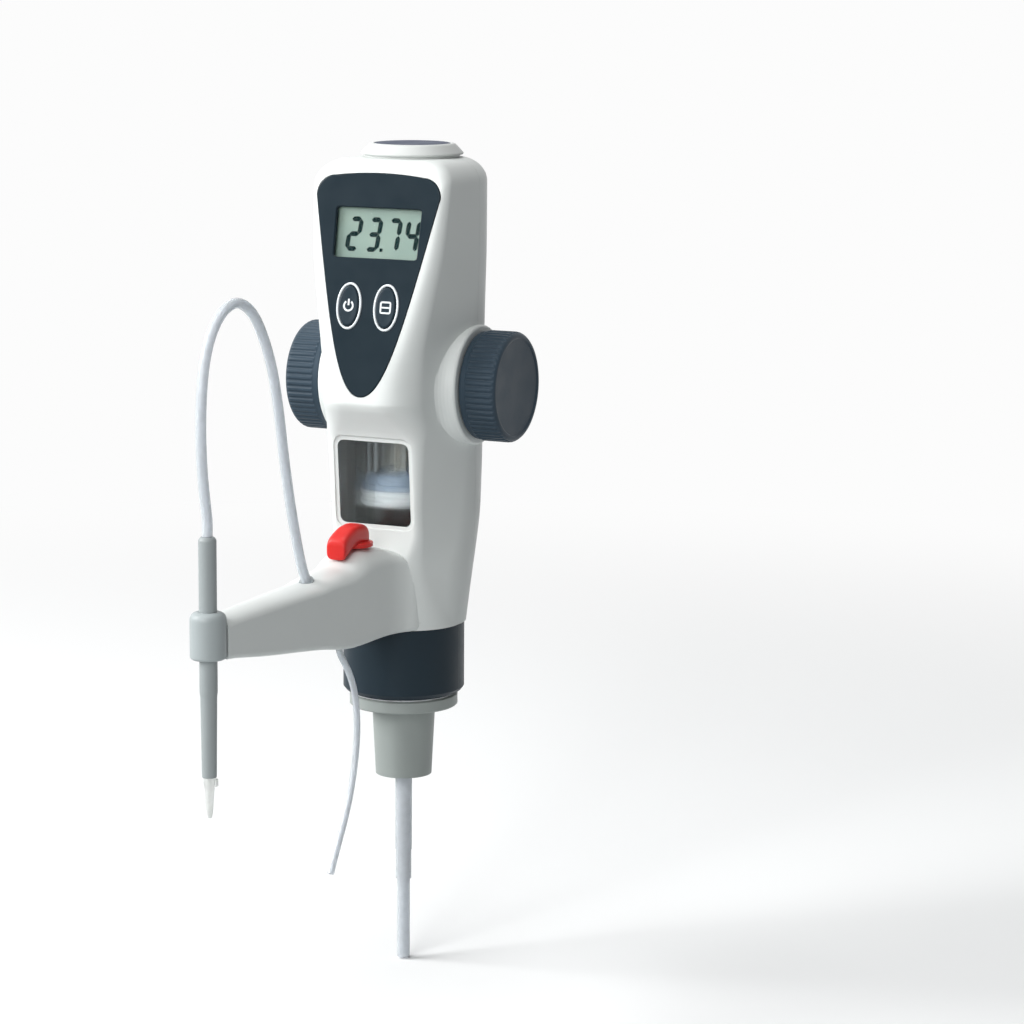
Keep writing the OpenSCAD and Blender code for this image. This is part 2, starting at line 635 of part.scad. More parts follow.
module top_cap() {
  color("#eef1ef") translate([0, wheel_y, head_top_z]) difference() {
    rotate_extrude() polygon([[0, 0], [cap_r - 1.8, 0], [cap_r - 1.8, 1], [cap_r - 0.6, 1.1], [cap_r, 1.8],
      [cap_r - 3.7, cap_h - 0.5], [cap_r - 4.7, cap_h], [17.4, cap_h], [17.4, cap_h - 1], [0, cap_h - 1]]);
    translate([0, 0, -1]) cylinder(h = cap_h - 2, r = 13.8);
  }
  color("#eef1ef") translate([0, wheel_y, head_top_z - 5]) difference() {
    cylinder(h = 5, r = 16);
    translate([0, 0, -1]) cylinder(h = 7, r = 13.8);
    for (turn = [0:3]) rotate(45 + 90 * turn) translate([15, 0, 0]) cube([8, 1.2, 8], center = true);
  }
}
module cap_inlay() {
  color("#47505f") translate([0, wheel_y, head_top_z + cap_h - 1]) rotate_extrude()
    polygon([[0, 0], [17.3, 0], [17.3, 0.8], [16.4, 1.1], [0, 1.3]]);
}

// Panel, display and buttons
module display_panel() {
  color("#2f3e4d") on_face() difference() {
    translate([0, 0, panel_back]) linear_extrude(panel_t) polygon(shield(0));
    translate([0, lcd_up, panel_back - 1]) linear_extrude(5) rounded(lcd_w, lcd_h, 1.5);
    translate([0, 0, panel_back - 1]) linear_extrude(5) at_buttons() oval(button_w + 0.6, button_h + 0.6);
    translate([0, 0, panel_front - 0.8]) linear_extrude(2) at_buttons() oval(button_w + 3.1, button_h + 3.1);
  }
}
module display_lens() {
  color([0.85, 0.9, 0.88, 0.5]) on_face() translate([0, lcd_up, panel_back - lens_t])
    linear_extrude(lens_t) rounded(lcd_w + 1.4, lcd_h + 2, 1.5);
}
module lcd_module() {
  color("#97ab9f") on_face() translate([0, lcd_up, board_front]) linear_extrude(lcd_t)
    rounded(lcd_w + 3, lcd_h + 3.4, 0.8);
}
module button_rings() {
  color("#c9d0d2") on_face() translate([0, 0, panel_front - 0.8]) linear_extrude(1.4) at_buttons() difference() {
    oval(button_w + 3, button_h + 3);
    oval(button_w + 0.6, button_h + 0.6);
  }
}
module push_button(x) {
  on_face() translate([x, button_up]) {
    translate([0, 0, panel_back - 2]) linear_extrude(2 - 0.2) oval(button_w + 2, button_h + 1.6);
    translate([0, 0, panel_back - 1]) linear_extrude(1 + panel_t + 0.8) oval(button_w, button_h);
  }
}
module power_button() {
  color("#2a3947") push_button(-button_x);
}
module clear_button() {
  color("#2a3947") push_button(button_x);
}
module circuit_board() {
  color("#2f6b4c") on_face() difference() {
    translate([0, 0, board_front - board_t]) linear_extrude(board_t) intersection() {
      polygon(shield(4));
      translate([-40, 24]) square([80, panel_len - 31]);
    }
    for (side = [-1, 1]) translate([side * 4, 30, board_front - 4]) cylinder(h = 8, r = 1.1);
  }
  color("#23282b") on_face() {
    translate([-6, 62, board_front - board_t - 1.6]) cube([12, 12, 1.6]);
    translate([12, 80, board_front - board_t - 1.4]) cube([7, 5, 1.4]);
    translate([-19, 82, board_front - board_t - 1.8]) cube([6, 4, 1.8]);
  }
}
module key_switches() {
  color("#b9bdbf") on_face() at_buttons() {
    translate([-3, -3, board_front]) cube([6, 6, 0.9]);
    translate([0, 0, board_front]) cylinder(h = panel_back - 2 - button_travel - 0.1 - board_front, r = 1.7);
  }
}
module window_pane() {
  color([0.75, 0.85, 0.87, 0.3]) on_window()
    window_frame(window_w + 4, window_h + 4, 2, -pane_depth, pane_t);
}

// Battery compartment
cell_r = 5.25;
cell_len = 44.5;
cell_x = 5.8;
cell_y = wheel_y + 23.4;
cell_z = (door_low_z + door_high_z - cell_len) / 2;
module battery_door() {
  color("#dde1df") door_hinge(7, hinge_r);
  color("#dde1df") difference() {
    intersection() {
      head_solid(0);
      door_block(0);
    }
    head_solid(wall - 0.4, 2);
    for (step = [0:3]) translate([0, wheel_y + 34.6, door_high_z - 12 + 2.4 * step])
      rotate([0, 90, 0]) cylinder(h = 12, r = 0.7, center = true, $fn = 12);
  }
}
module battery_holder() {
  color("#3b4248") difference() {
    translate([-13.4, cell_y - 7.2, cell_z - 3.6]) cube([26.8, 10, cell_len + 7.2]);
    translate([-12, cell_y - 5.7, cell_z - 2.1]) cube([24, 12, cell_len + 4.2]);
    for (side = [-1, 1]) translate([side * cell_x, cell_y - 8, cell_z + cell_len / 2]) rotate([-90, 0, 0])
      cylinder(h = 4, r = 2.2);
  }
  color("#3b4248") intersection() {
    translate([-0.3, cell_y - 5.8, cell_z + 4]) cube([0.6, 4, cell_len - 8]);
    translate([-20, cell_y - 20, 0]) cube([40, 40, big]);
  }
}
module battery_cells() {
  color("#3d6f9b") for (side = [-1, 1]) translate([side * cell_x, cell_y, cell_z]) {
    cylinder(h = cell_len - 1, r = cell_r);
    cylinder(h = cell_len, r = 1.9);
  }
}
module cell_contacts() {
  color("#c9b27a") for (side = [-1, 1]) translate([side * cell_x, cell_y, 0]) {
    translate([-4, -4, cell_z + cell_len + 0.05]) cube([8, 8, 0.5]);
    for (turn = [0:2]) translate([0, 0, cell_z - 1.7 + 0.6 * turn]) rotate_extrude() translate([2.6 - 0.4 * turn, 0])
      circle(r = 0.32, $fn = 12);
    translate([-4, -4, cell_z - 2.08]) cube([8, 8, 0.3]);
  }
}

// Glass cylinder and piston
module glass_cylinder() {
  color([0.8, 0.88, 0.92, 0.3]) translate([0, 0, glass_z + 0.8]) difference() {
    cylinder(h = glass_len - 0.8, r = glass_r);
    translate([0, 0, -1]) cylinder(h = glass_len + 2, r = bore_r);
  }
}
module cylinder_seal() {
  color("#30383c") translate([0, 0, glass_z + eps]) difference() {
    cylinder(h = 0.8 - 2 * eps, r = glass_r);
    translate([0, 0, -1]) cylinder(h = 3, r = bore_r);
  }
}
module cylinder_ring() {
  color("#39434a") translate([0, 0, glass_top_z - 5]) difference() {
    cylinder(h = ring_top_z - glass_top_z + 5, r = ring_r);
    translate([0, 0, -1]) cylinder(h = 6, r = glass_r + fit);
    cylinder(h = 20, r = bore_r + 0.4);
    translate([out_x - 1, wheel_y - 12, 5.1]) cube([gear_w + 2, 24, 10]);
  }
}
module piston_seal() {
  color("#f1f3f0") translate([0, 0, piston_z]) difference() {
    rotate_extrude() polygon([[0, 0], [bore_r - 1, 0], [bore_r - run, 1], [bore_r - run, 2.2], [bore_r - 0.8, 3],
      [bore_r - 0.8, seal_h - 3], [bore_r - run, seal_h - 2.2], [bore_r - run, seal_h], [0, seal_h]]);
    translate([0, 0, seal_h - 4]) cylinder(h = 5, r = 8);
  }
}
module piston_carrier() {
  color("#8fa3bd") translate([0, 0, piston_z + seal_h]) difference() {
    union() {
      rotate_extrude() polygon([[0, -3.9], [7.9, -3.9], [7.9, eps], [bore_r - 1, eps], [bore_r - 1, 2.5], [bore_r - 2.2, 2.5],
        [bore_r - 3.4, carrier_h - 1], [bore_r - 4.6, carrier_h], [bore_r - 6, carrier_h], [bore_r - 6, 3], [0, 3]]);
      translate([-rack_half - 2, rack_back - 1.5, 0]) cube([2 * rack_half + 4, rack_y - rack_back + 1, carrier_h]);
      for (side = [-1, 1]) translate([side * rod_x, rod_y, 0]) cylinder(h = carrier_h, r = rod_r + 1.6);
    }
    translate([-rack_half - fit, rack_back - fit, 3]) cube([2 * rack_half + 2 * fit, 10, carrier_h]);
    for (side = [-1, 1]) translate([side * rod_x, rod_y, 3]) cylinder(h = carrier_h, r = rod_r + fit);
  }
}
rack_low = piston_z + seal_h + 3;
rack_high = wheel_z + piston_up + 6;
teeth_up = floor((rack_high - wheel_z - 1) / rack_pitch);
teeth_down = floor((wheel_z - rack_low - carrier_h + 1) / rack_pitch);
module piston_rack() {
  half = rack_pitch / 4 - 0.06;
  lean_in = tan(20);
  color("#c9cdc9") translate([-rack_half, 0, 0]) along_x(0, 0, 0) linear_extrude(2 * rack_half) polygon(concat(
    [[rack_back, rack_high], [rack_back, rack_low], [rack_y - tooth_deep, rack_low]],
    [for (i = [-teeth_down:teeth_up]) let (mid = wheel_z + (i + 0.5) * rack_pitch) each [
      [rack_y - tooth_deep, mid - half - tooth_deep * lean_in],
      [rack_y + tooth_high, mid - half + tooth_high * lean_in],
      [rack_y + tooth_high, mid + half - tooth_high * lean_in],
      [rack_y - tooth_deep, mid + half + tooth_deep * lean_in]]],
    [[rack_y - tooth_deep, rack_high]]));
}
module guide_rods() {
  color("#cfd6d8") for (side = [-1, 1]) translate([side * rod_x, rod_y, rack_low])
    cylinder(h = deck_top_z + piston_up + 3 - rack_low, r = rod_r);
}

// Chassis and gear train
module chassis() {
  color("#4a545b") difference() {
    union() {
      translate([0, 0, ring_top_z]) intersection() {
        cylinder(h = deck_t, r = ring_r + 0.8);
        translate([-plate_x - plate_t, -big / 2, 0]) cube([2 * (plate_x + plate_t), big, 10]);
      }
      for (side = [0, 1]) mirror([side, 0, 0]) along_x(plate_x, 0, 0) linear_extrude(plate_t) difference() {
        polygon([[-9, ring_top_z], [-9, ring_top_z + 20], [-6.5, bridge_z + deck_t], [18, bridge_z + deck_t],
          [19.5, wheel_z + 6], [12, ring_top_z]]);
        translate([-1.5, lay_z - 8]) circle(3.4);
      }
      translate([-plate_x - 1, -6.5, bridge_z]) cube([2 * plate_x + 2, 24.5, deck_t]);
    }
    translate([-rack_half - slip, rack_back - slip, 0])
      cube([2 * (rack_half + slip), rack_y + tooth_high - rack_back + 2 * slip, big]);
    for (side = [-1, 1]) translate([side * rod_x, rod_y, ring_top_z - 1]) cylinder(h = deck_t + 2, r = rod_r + run);
    translate([out_x - 1, wheel_y - 13, ring_top_z - 1]) cube([gear_w + 2, 26, deck_t + 2]);
    translate([-6, wheel_y - 7, ring_top_z - 1]) cube([12, 14, deck_t + 2]);
    translate([-15.5, wheel_y - 10, ring_top_z - 1]) cube([4, 20, deck_t + 2]);
    translate([0, 12, bridge_z - 1]) cube([24, 6, 10], center = true);
    translate([0, wheel_y, wheel_z]) rotate([0, 90, 0]) cylinder(h = 100, r = 4.5 + fit, center = true);
    translate([0, wheel_y, lay_z]) rotate([0, 90, 0]) cylinder(h = 100, r = lay_r + fit, center = true);
  }
}
module shaft_bushes() {
  color("#b98a4a") for (side = [0, 1]) mirror([side, 0, 0])
    translate([plate_x - 0.8, wheel_y, wheel_z]) rotate([0, 90, 0]) difference() {
      union() {
        cylinder(h = plate_t + 0.8, r = 4.5);
        cylinder(h = 0.8 - eps, r = 5.6);
      }
      translate([0, 0, -1]) cylinder(h = 20, r = shaft_r + run);
    }
}
module layshaft() {
  color("#b4babd") translate([0, wheel_y, lay_z]) rotate([0, 90, 0])
    cylinder(h = 2 * (plate_x + plate_t), r = lay_r, center = true);
}
// The large wheels are drawn with a space, the pinions with a tooth, on the line between their axes
module layshaft_gear() {
  color("#d8d3c4") along_x(lay_x, wheel_y, lay_z) linear_extrude(gear_w) difference() {
    rotate(-90 + 180 / wheel_teeth) gear_outline(wheel_teeth, lay_r + run);
    for (k = [0:5]) rotate(60 * k) translate([0.6 * wheel_pitch_r, 0]) circle(2.6);
  }
  color("#d8d3c4") along_x(out_x - 0.5, wheel_y, lay_z) linear_extrude(lay_x - out_x + 0.5)
    rotate(-90) gear_outline(pinion_teeth, lay_r + run);
}
module output_gear() {
  color("#cfc9b8") along_x(out_x, wheel_y, wheel_z) linear_extrude(gear_w) difference() {
    rotate(90 + 180 / wheel_teeth) gear_outline(wheel_teeth, shaft_r + run);
    for (k = [0:5]) rotate(60 * k) translate([0.6 * wheel_pitch_r, 0]) circle(2.6);
  }
  color("#cfc9b8") along_x(-rack_half - 1, wheel_y, wheel_z) linear_extrude(out_x + rack_half + 1)
    rotate(180) gear_outline(rack_pinion_teeth, shaft_r + run);
}
module wheel_shaft() {
  color("#b4babd") translate([0, wheel_y, wheel_z]) rotate([0, 90, 0])
    cylinder(h = 2 * (wheel_x + wheel_t - 3), r = shaft_r, center = true);
}
module drive_pinion() {
  color("#c2a45e") along_x(lay_x - 0.4, wheel_y, wheel_z) linear_extrude(gear_w + 0.8)
    rotate(90) gear_outline(pinion_teeth, shaft_r + fit);
}
module encoder_disc() {
  color("#1f2427") along_x(-14.2, wheel_y, wheel_z) {
    linear_extrude(1) difference() {
      circle(9.7);
      circle(shaft_r + fit);
      for (k = [0:29]) rotate(12 * k) translate([6.4, -0.45]) square([2.4, 0.9]);
    }
    linear_extrude(3.5) difference() {
      circle(4.6);
      circle(shaft_r + fit);
    }
  }
}
module encoder_sensor() {
  color("#2b3033") difference() {
    translate([-16.6, wheel_y - 3, deck_top_z + 0.02]) cube([6, 6, 5.2]);
    translate([-14.8, wheel_y - 4, deck_top_z + 0.6]) cube([2.4, 8, 10]);
  }
}
module handwheel() {
  difference() {
    union() {
      difference() {
        linear_extrude(wheel_t) circle(wheel_r - 0.7, $fn = 96);
        translate([0, 0, -1]) cylinder(h = wheel_t - 1.6, r = wheel_r - 3.4);
      }
      translate([0, 0, 4]) linear_extrude(wheel_t - 5.2) polygon([for (k = [0:ridges - 1], s = [0:3])
        let (p = 360 * (k + [0.04, 0.3, 0.7, 0.96][s]) / ridges, r = wheel_r - [0.55, 0, 0, 0.55][s])
        [r * cos(p), r * sin(p)]]);
    }
    translate([0, 0, 3.9]) cylinder(h = wheel_t - 6.5, r = wheel_r - 3.4);
    translate([0, 0, wheel_t - 0.6]) cylinder(h = 1, r = wheel_r - 3.2);
    rotate_extrude() polygon([[wheel_r - 1.5, -eps], [wheel_r + 1, -eps], [wheel_r + 1, 1.3], [wheel_r - 0.4, 1.3]]);
    rotate_extrude() polygon([[wheel_r - 1.6, wheel_t + eps], [wheel_r + 1, wheel_t + eps],
      [wheel_r + 1, wheel_t - 1.8], [wheel_r + 0.2, wheel_t - 1.8]]);
  }
  difference() {
    union() {
      translate([0, 0, 0.6]) cylinder(h = wheel_t - 2, r = 6.5);
      for (k = [0:5]) rotate(60 * k) translate([0, -0.9, 3]) cube([wheel_r - 2.5, 1.8, wheel_t - 5]);
    }
    translate([0, 0, -1]) cylinder(h = wheel_t - 2, r = shaft_r + fit);
  }
}
module left_handwheel() {
  color("#3f4d59") mirror([1, 0, 0]) along_x(wheel_x, wheel_y, wheel_z) handwheel();
}
module right_handwheel() {
  color("#3f4d59") along_x(wheel_x, wheel_y, wheel_z) handwheel();
}

// Discharge valve and its ducts inside the arm
floor_z = skirt_z + arm_wall;
plug_top_z = bulb_top_z - 5;
module valve_body() {
  color("#d5d9d8") translate([0, -lever_reach, 0]) difference() {
    translate([0, 0, floor_z + 0.02]) cylinder(h = plug_top_z - floor_z, r = 7.5);
    translate([0, 0, port_z - 5]) cylinder(h = 40, r = 3.5 + run);
    translate([0, 0, port_z]) rotate([90, 0, 0]) cylinder(h = 20, r = 1.2, center = true);
    for (side = [-1, 1]) translate([0, side * 6.5, port_z]) rotate([90, 0, 0])
      cylinder(h = 3, r = hose_r + fit, center = true);
    translate([0, -3, floor_z + 4.5]) rotate([90, 0, 0]) cylinder(h = 6, r = 1.5 + fit);
    translate([0, -1, floor_z + 4.5]) cylinder(h = port_z - floor_z, r = 0.8);
  }
}
module valve_plug() {
  color("#e8eae7") translate([0, -lever_reach, 0]) difference() {
    union() {
      translate([0, 0, port_z - 4.5]) cylinder(h = plug_top_z - port_z + 4.5, r = 3.5);
      translate([0, 0, plug_top_z - eps]) cylinder(h = 8, r = 2.9);
    }
    translate([0, 0, port_z]) rotate([90, 0, 0]) cylinder(h = 10, r = 1.2, center = true);
  }
}
lever_z = bulb_top_z + slip;
module valve_lever() {
  color("#d5322c") translate([0, -lever_reach, lever_z]) difference() {
    union() {
      cylinder(h = 2.4, r = 8);
      intersection() {
        translate([-lever_w / 2, 0, 0]) along_x(0, 0, 0) linear_extrude(lever_w) polygon([
          [6.6, 0], [6.4, 4.6], [5.2, 8], [2.4, 9.8], [-2, 10.4], [-8, 9.8], [-13, 8.2], [-lever_len + 1.2, 6.2],
          [-lever_len, 4.8], [-lever_len - 0.2, -2.6], [-lever_len + 0.6, -4], [-lever_len + 2.4, -3],
          [-14, -1.8], [-11, -0.4], [-8, 0.4], [-7, 0]]);
        translate([0, 0, -5]) linear_extrude(30) hull() {
          translate([0, 1.4]) circle(lever_w / 2);
          translate([-lever_w / 2 + 1, -lever_len - 0.3]) square([lever_w - 2, 2]);
          translate([0, -lever_len + 2.4]) square([lever_w, 2], center = true);
        }
      }
    }
    translate([0, 0, -1]) cylinder(h = 6, r = 2.9 + fit);
  }
}
module tube_piece(r, bore, h) {
  difference() {
    cylinder(h = h, r = r);
    translate([0, 0, -1]) cylinder(h = h + 2, r = bore);
  }
}
module inlet_duct() {
  color("#dfe4e3") translate([0, -neck_r + 2.9, port_z]) rotate([90, 0, 0])
    tube_piece(hose_r, 1.2, lever_reach - 5.1 - neck_r + 2.9);
}
duct_y = -lever_reach - 5.1;
elbow_y = exit_y + (exit_z - port_z) / tan(exit_turn);
module outlet_run(r, elbow_r, past) {
  translate([0, duct_y + past, port_z]) rotate([90, 0, 0]) cylinder(h = duct_y + past - elbow_y, r = r);
  translate([0, elbow_y, port_z]) {
    sphere(elbow_r);
    rotate([90 - exit_turn, 0, 0]) cylinder(h = norm([exit_y - elbow_y, exit_z - port_z]) + past, r = r);
  }
}
module outlet_duct() {
  color("#dfe4e3") difference() {
    outlet_run(hose_r, hose_r + 0.8, 0);
    outlet_run(1.2, 1.6, 1);
  }
}
module return_duct() {
  color("#dfe4e3") {
    translate([0, duct_y + 1, floor_z + 4.5]) rotate([90, 0, 0]) tube_piece(return_r, 0.8, duct_y - 3.5 - hose_y);
    translate([0, hose_y + 4.5, floor_z]) rotate([90, 0, -90]) rotate_extrude(angle = 90) translate([4.5, 0]) difference() {
      circle(return_r, $fn = 24);
      circle(0.8, $fn = 24);
    }
    translate([0, hose_y, skirt_z]) tube_piece(return_r, 0.8, floor_z - skirt_z);
  }
}
module tube_grommet() {
  color("#6b7377") translate([0, exit_y, exit_z]) rotate([90 - exit_turn, 0, 0]) difference() {
    union() {
      translate([0, 0, -4.5]) cylinder(h = 4.5, r = 3 - fit);
      translate([0, 0, -0.7]) cylinder(h = 1.2, r = 3.3);
    }
    translate([0, 0, -6]) cylinder(h = 12, r = hose_r + fit);
  }
}

// Clamp, titration tube and flexible tubes
module arm_clamp() {
  color("#b7bec1") translate([0, -arm_reach, collar_z]) difference() {
    union() {
      rotate_extrude() polygon([[0, 0], [collar_r - 0.8, 0], [collar_r, 0.8], [collar_r, collar_h - 2.4],
        [collar_r - 0.9, collar_h - 0.8], [collar_r - 2.6, collar_h], [0, collar_h]]);
      translate([-4, 0, 5.2]) cube([8, 14, 8]);
    }
    translate([0, 0, -1]) cylinder(h = 30, r = tube_r + run);
    translate([0, 13, 9.2]) cube([3.2, 8, 3.2], center = true);
  }
}
module titration_tube() {
  color("#a9afb1") translate([0, -arm_reach, 0]) difference() {
    rotate_extrude() polygon([[0, tube_z], [tube_tip_r, tube_z], [tube_tip_r + 0.05, tube_z + 1], [tube_r - 0.25, collar_z - 16],
      [tube_r, collar_z - 14], [tube_r, tube_top_z - 1.2], [tube_r - 1, tube_top_z], [0, tube_top_z]]);
    translate([0, 0, tube_z - 1]) cylinder(h = big, r = hose_r + fit);
  }
}
module tube_liner() {
  color("#e6eaea") translate([0, -arm_reach, tube_z]) tube_piece(hose_r, 1.4, tube_len);
}
module nozzle() {
  color("#e4e8e6") translate([0, -arm_reach, tube_z]) difference() {
    union() {
      rotate_extrude() polygon([[0, 0], [tube_tip_r - 0.4, 0], [tube_tip_r - 0.4, -2.5], [tube_tip_r - 1, -4.5],
        [1.6, -nozzle_len + 4], [1, -nozzle_len], [0, -nozzle_len]]);
      translate([1.6, -0.8, -3.6]) cube([2.2, 1.6, 3.2]);
    }
    translate([0, 0, -nozzle_len - 1]) cylinder(h = nozzle_len + 2, r = 0.6);
  }
}
function unit(v) = v / norm(v);
function spline_point(p, i, t) = let (
    a = i == 0 ? 2 * p[0] - p[1] : p[i - 1],
    d = i + 2 > len(p) - 1 ? 2 * p[i + 1] - p[i] : p[i + 2])
  0.5 * (2 * p[i] + (p[i + 1] - a) * t + (2 * a - 5 * p[i] + 4 * p[i + 1] - d) * t * t
    + (3 * p[i] - a - 3 * p[i + 1] + d) * t * t * t);
function spline(p, steps) = concat(
  [for (i = [0:len(p) - 2], s = [0:steps - 1]) spline_point(p, i, s / steps)], [p[len(p) - 1]]);
// A round tube whose middle line stays in the plane x = 0
module bent_tube(route, r, sides, steps) {
  line = spline(route, steps);
  last = len(line) - 1;
  skin([for (i = [0:last]) let (
      ahead = unit(line[min(i + 1, last)] - line[max(i - 1, 0)]),
      across = cross(ahead, [1, 0, 0]))
    [for (k = [0:sides - 1]) line[i] + r * (cos(360 * k / sides) * [1, 0, 0] + sin(360 * k / sides) * across)]]);
}
module loop_tube() {
  color("#dfe5e8") bent_tube(loop_route, hose_r, 10, 2);
}
module return_hose() {
  color("#e3e8e8") bent_tube(hose_route, return_r, 8, 2);
}

valve_block();
bottle_adapter();
adapter_seal();
inlet_seat();
inlet_ball();
filling_tube();
filling_tube_slide();
front_housing();
rear_housing();
top_cap();
cap_inlay();
case_screws();
display_panel();
display_lens();
lcd_module();
button_rings();
power_button();
clear_button();
circuit_board();
key_switches();
window_pane();
battery_door();
battery_holder();
battery_cells();
cell_contacts();
glass_cylinder();
cylinder_seal();
cylinder_ring();
piston_seal();
piston_carrier();
piston_rack();
guide_rods();
chassis();
shaft_bushes();
layshaft();
layshaft_gear();
output_gear();
wheel_shaft();
drive_pinion();
encoder_disc();
encoder_sensor();
left_handwheel();
right_handwheel();
valve_body();
valve_plug();
valve_lever();
inlet_duct();
outlet_duct();
return_duct();
tube_grommet();
arm_clamp();
titration_tube();
tube_liner();
nozzle();
loop_tube();
return_hose();
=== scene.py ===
"""A digital bottle-top burette, dressed for a studio shot.

Lengths are in millimetres in the shape functions and become metres in the meshes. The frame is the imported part's:
+Z up the bottle's axis, the arm and the display towards -Y, the handwheels on X.
"""

import bpy
import numpy as np
from mathutils import Matrix


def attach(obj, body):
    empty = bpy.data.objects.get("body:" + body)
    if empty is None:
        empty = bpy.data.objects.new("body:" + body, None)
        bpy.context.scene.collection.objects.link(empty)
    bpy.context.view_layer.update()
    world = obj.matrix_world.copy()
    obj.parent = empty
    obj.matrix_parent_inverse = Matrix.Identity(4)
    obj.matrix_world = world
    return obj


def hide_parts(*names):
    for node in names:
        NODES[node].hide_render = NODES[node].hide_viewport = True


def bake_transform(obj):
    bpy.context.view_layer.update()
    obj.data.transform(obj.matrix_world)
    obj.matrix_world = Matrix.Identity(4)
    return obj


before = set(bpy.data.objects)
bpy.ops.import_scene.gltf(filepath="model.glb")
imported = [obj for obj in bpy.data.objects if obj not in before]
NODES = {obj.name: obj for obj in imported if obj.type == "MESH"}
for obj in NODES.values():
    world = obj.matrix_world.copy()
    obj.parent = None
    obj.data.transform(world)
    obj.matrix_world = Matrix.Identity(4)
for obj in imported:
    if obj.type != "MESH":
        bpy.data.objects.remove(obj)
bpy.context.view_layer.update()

# ---- camera
EYE_DISTANCE = 1570.6
AIM = np.array([45.0, 21.17, 90.12])


def placed(right, up, back, place):
    """The matrix of a camera or lamp that stands at place, with its own three axes."""
    return Matrix([[right[i], up[i], back[i], place[i]] for i in range(3)] + [[0, 0, 0, 1]])


def stand_camera():
    """The camera looks at AIM along its azimuth and elevation, and is turned a little about that line."""
    azimuth, elevation, roll = np.radians([25.18, 9.72, 0.36])
    ahead = np.array([-np.sin(azimuth) * np.cos(elevation), np.cos(azimuth) * np.cos(elevation), -np.sin(elevation)])
    level = np.array([np.cos(azimuth), np.sin(azimuth), 0.0])
    right = np.cos(roll) * level + np.sin(roll) * np.cross(level, ahead)
    up = np.cross(right, ahead)
    eye = (AIM - EYE_DISTANCE * ahead) / 1000
    data = bpy.data.cameras.new("camera")
    data.lens, data.sensor_width, data.clip_end = 120.01, 36.0, 20.0
    camera = bpy.data.objects.new("camera", data)
    bpy.context.collection.objects.link(camera)
    camera.matrix_world = placed(right, up, -ahead, eye)
    bpy.context.scene.camera = camera


stand_camera()


# ---- mesh helpers
def to_object(name, points, faces):
    """A mesh from points in millimetres and faces of any size, linked to the scene."""
    mesh = bpy.data.meshes.new(name)
    mesh.from_pydata((np.asarray(points, float) / 1000).tolist(), [], faces)
    mesh.update()
    obj = bpy.data.objects.new(name, mesh)
    bpy.context.collection.objects.link(obj)
    return obj


def unit(v):
    """Vectors of length 1 along those given."""
    return v / np.linalg.norm(v, axis=-1, keepdims=True)


def full_turn(n):
    """Angles in n equal steps round a circle."""
    return np.linspace(0, 2 * np.pi, n, endpoint=False)


def arc(x, y, p, across, up=None):
    """Points at angles p round (x, y): a circle of one radius, or an ellipse of two."""
    return np.stack([x + across * np.cos(p), y + (across if up is None else up) * np.sin(p)], -1)


def signed_power(v, power):
    """A cosine or sine raised to a power below 1, its sign kept: it takes a circle towards a rounded square."""
    return np.sign(v) * np.abs(v) ** power


def grid_faces(rows, columns):
    """Quads between neighbouring rows of a grid whose rows close on themselves."""
    i, j = np.meshgrid(np.arange(rows - 1) * columns, np.arange(columns), indexing="ij")
    across = (j + 1) % columns
    return np.stack([i + j, i + across, i + columns + across, i + columns + j], -1).reshape(-1, 4).tolist()


def closed_grid(rings, ring):
    """Points and faces of a closed surface over rows of points: a ring's last row joins its first; on any other the
    first and last rows lie on the axis, and each closes in one pole."""
    body = rings if ring else rings[1:-1]
    rows, columns = body.shape[:2]
    points, faces = body.reshape(-1, 3), grid_faces(rows, columns)
    k, last = np.arange(columns), (rows - 1) * columns
    n = (k + 1) % columns
    if ring:
        return points, faces + np.stack([last + k, last + n, n, k], -1).tolist()
    pole = np.full(columns, rows * columns)
    fans = np.concatenate([np.stack([n, k, pole], -1), np.stack([last + k, last + n, pole + 1], -1)])
    return np.concatenate([points, rings[0, :1], rings[-1, :1]]), faces + fans.tolist()


def loft(name, rings, flip=False):
    """A closed solid through rings of equal count: quads between them and one flat face on each end ring."""
    rows, columns = rings.shape[:2]
    faces = grid_faces(rows, columns)
    faces.append(list(range(columns - 1, -1, -1)))
    faces.append(list(range((rows - 1) * columns, rows * columns)))
    if flip:
        faces = [f[::-1] for f in faces]
    return to_object(name, rings.reshape(-1, 3), faces)


def fillet(profile, radii, steps=5):
    """An open outline with quadratic arcs for inner corners, each of which starts and ends its radius away."""
    profile = np.asarray(profile, float)
    t = np.linspace(0, 1, steps)[:, None]
    parts = [profile[:1]]
    for before, corner, after, r in zip(profile, profile[1:], profile[2:], radii):
        into, out = corner - before, after - corner
        a = corner - unit(into) * min(r, 0.49 * np.linalg.norm(into))
        b = corner + unit(out) * min(r, 0.49 * np.linalg.norm(out))
        parts.append((1 - t) ** 2 * a + 2 * t * (1 - t) * corner + t ** 2 * b)
    return np.concatenate(parts + [profile[-1:]])


AXES = {"X": np.array([[0, 1, 0], [0, 0, 1], [1, 0, 0]], float), "Z": np.eye(3)}


def turned(name, profile, centre=(0, 0, 0), axis="Z", steps=96, closed=False):
    """A solid of revolution: (radius, height) turned about an axis through centre.

    A profile that starts and ends on the axis closes in two poles; a closed one is a ring."""
    profile = np.asarray(profile, float)
    angle = full_turn(steps)
    r, h = profile[:, :1], profile[:, 1:]
    points, faces = closed_grid(np.stack([r * np.cos(angle), r * np.sin(angle), h + 0 * angle], -1), closed)
    return to_object(name, points @ AXES[axis] + np.asarray(centre, float), faces)


def leaning(origin, tilt):
    """A flat frame on the object, as its origin and axes: x right, y up the face, z out of it."""
    c, s = np.cos(np.radians(tilt)), np.sin(np.radians(tilt))
    return np.array(origin), np.array([[1, 0, 0], [0, c, s], [0, -s, c]])


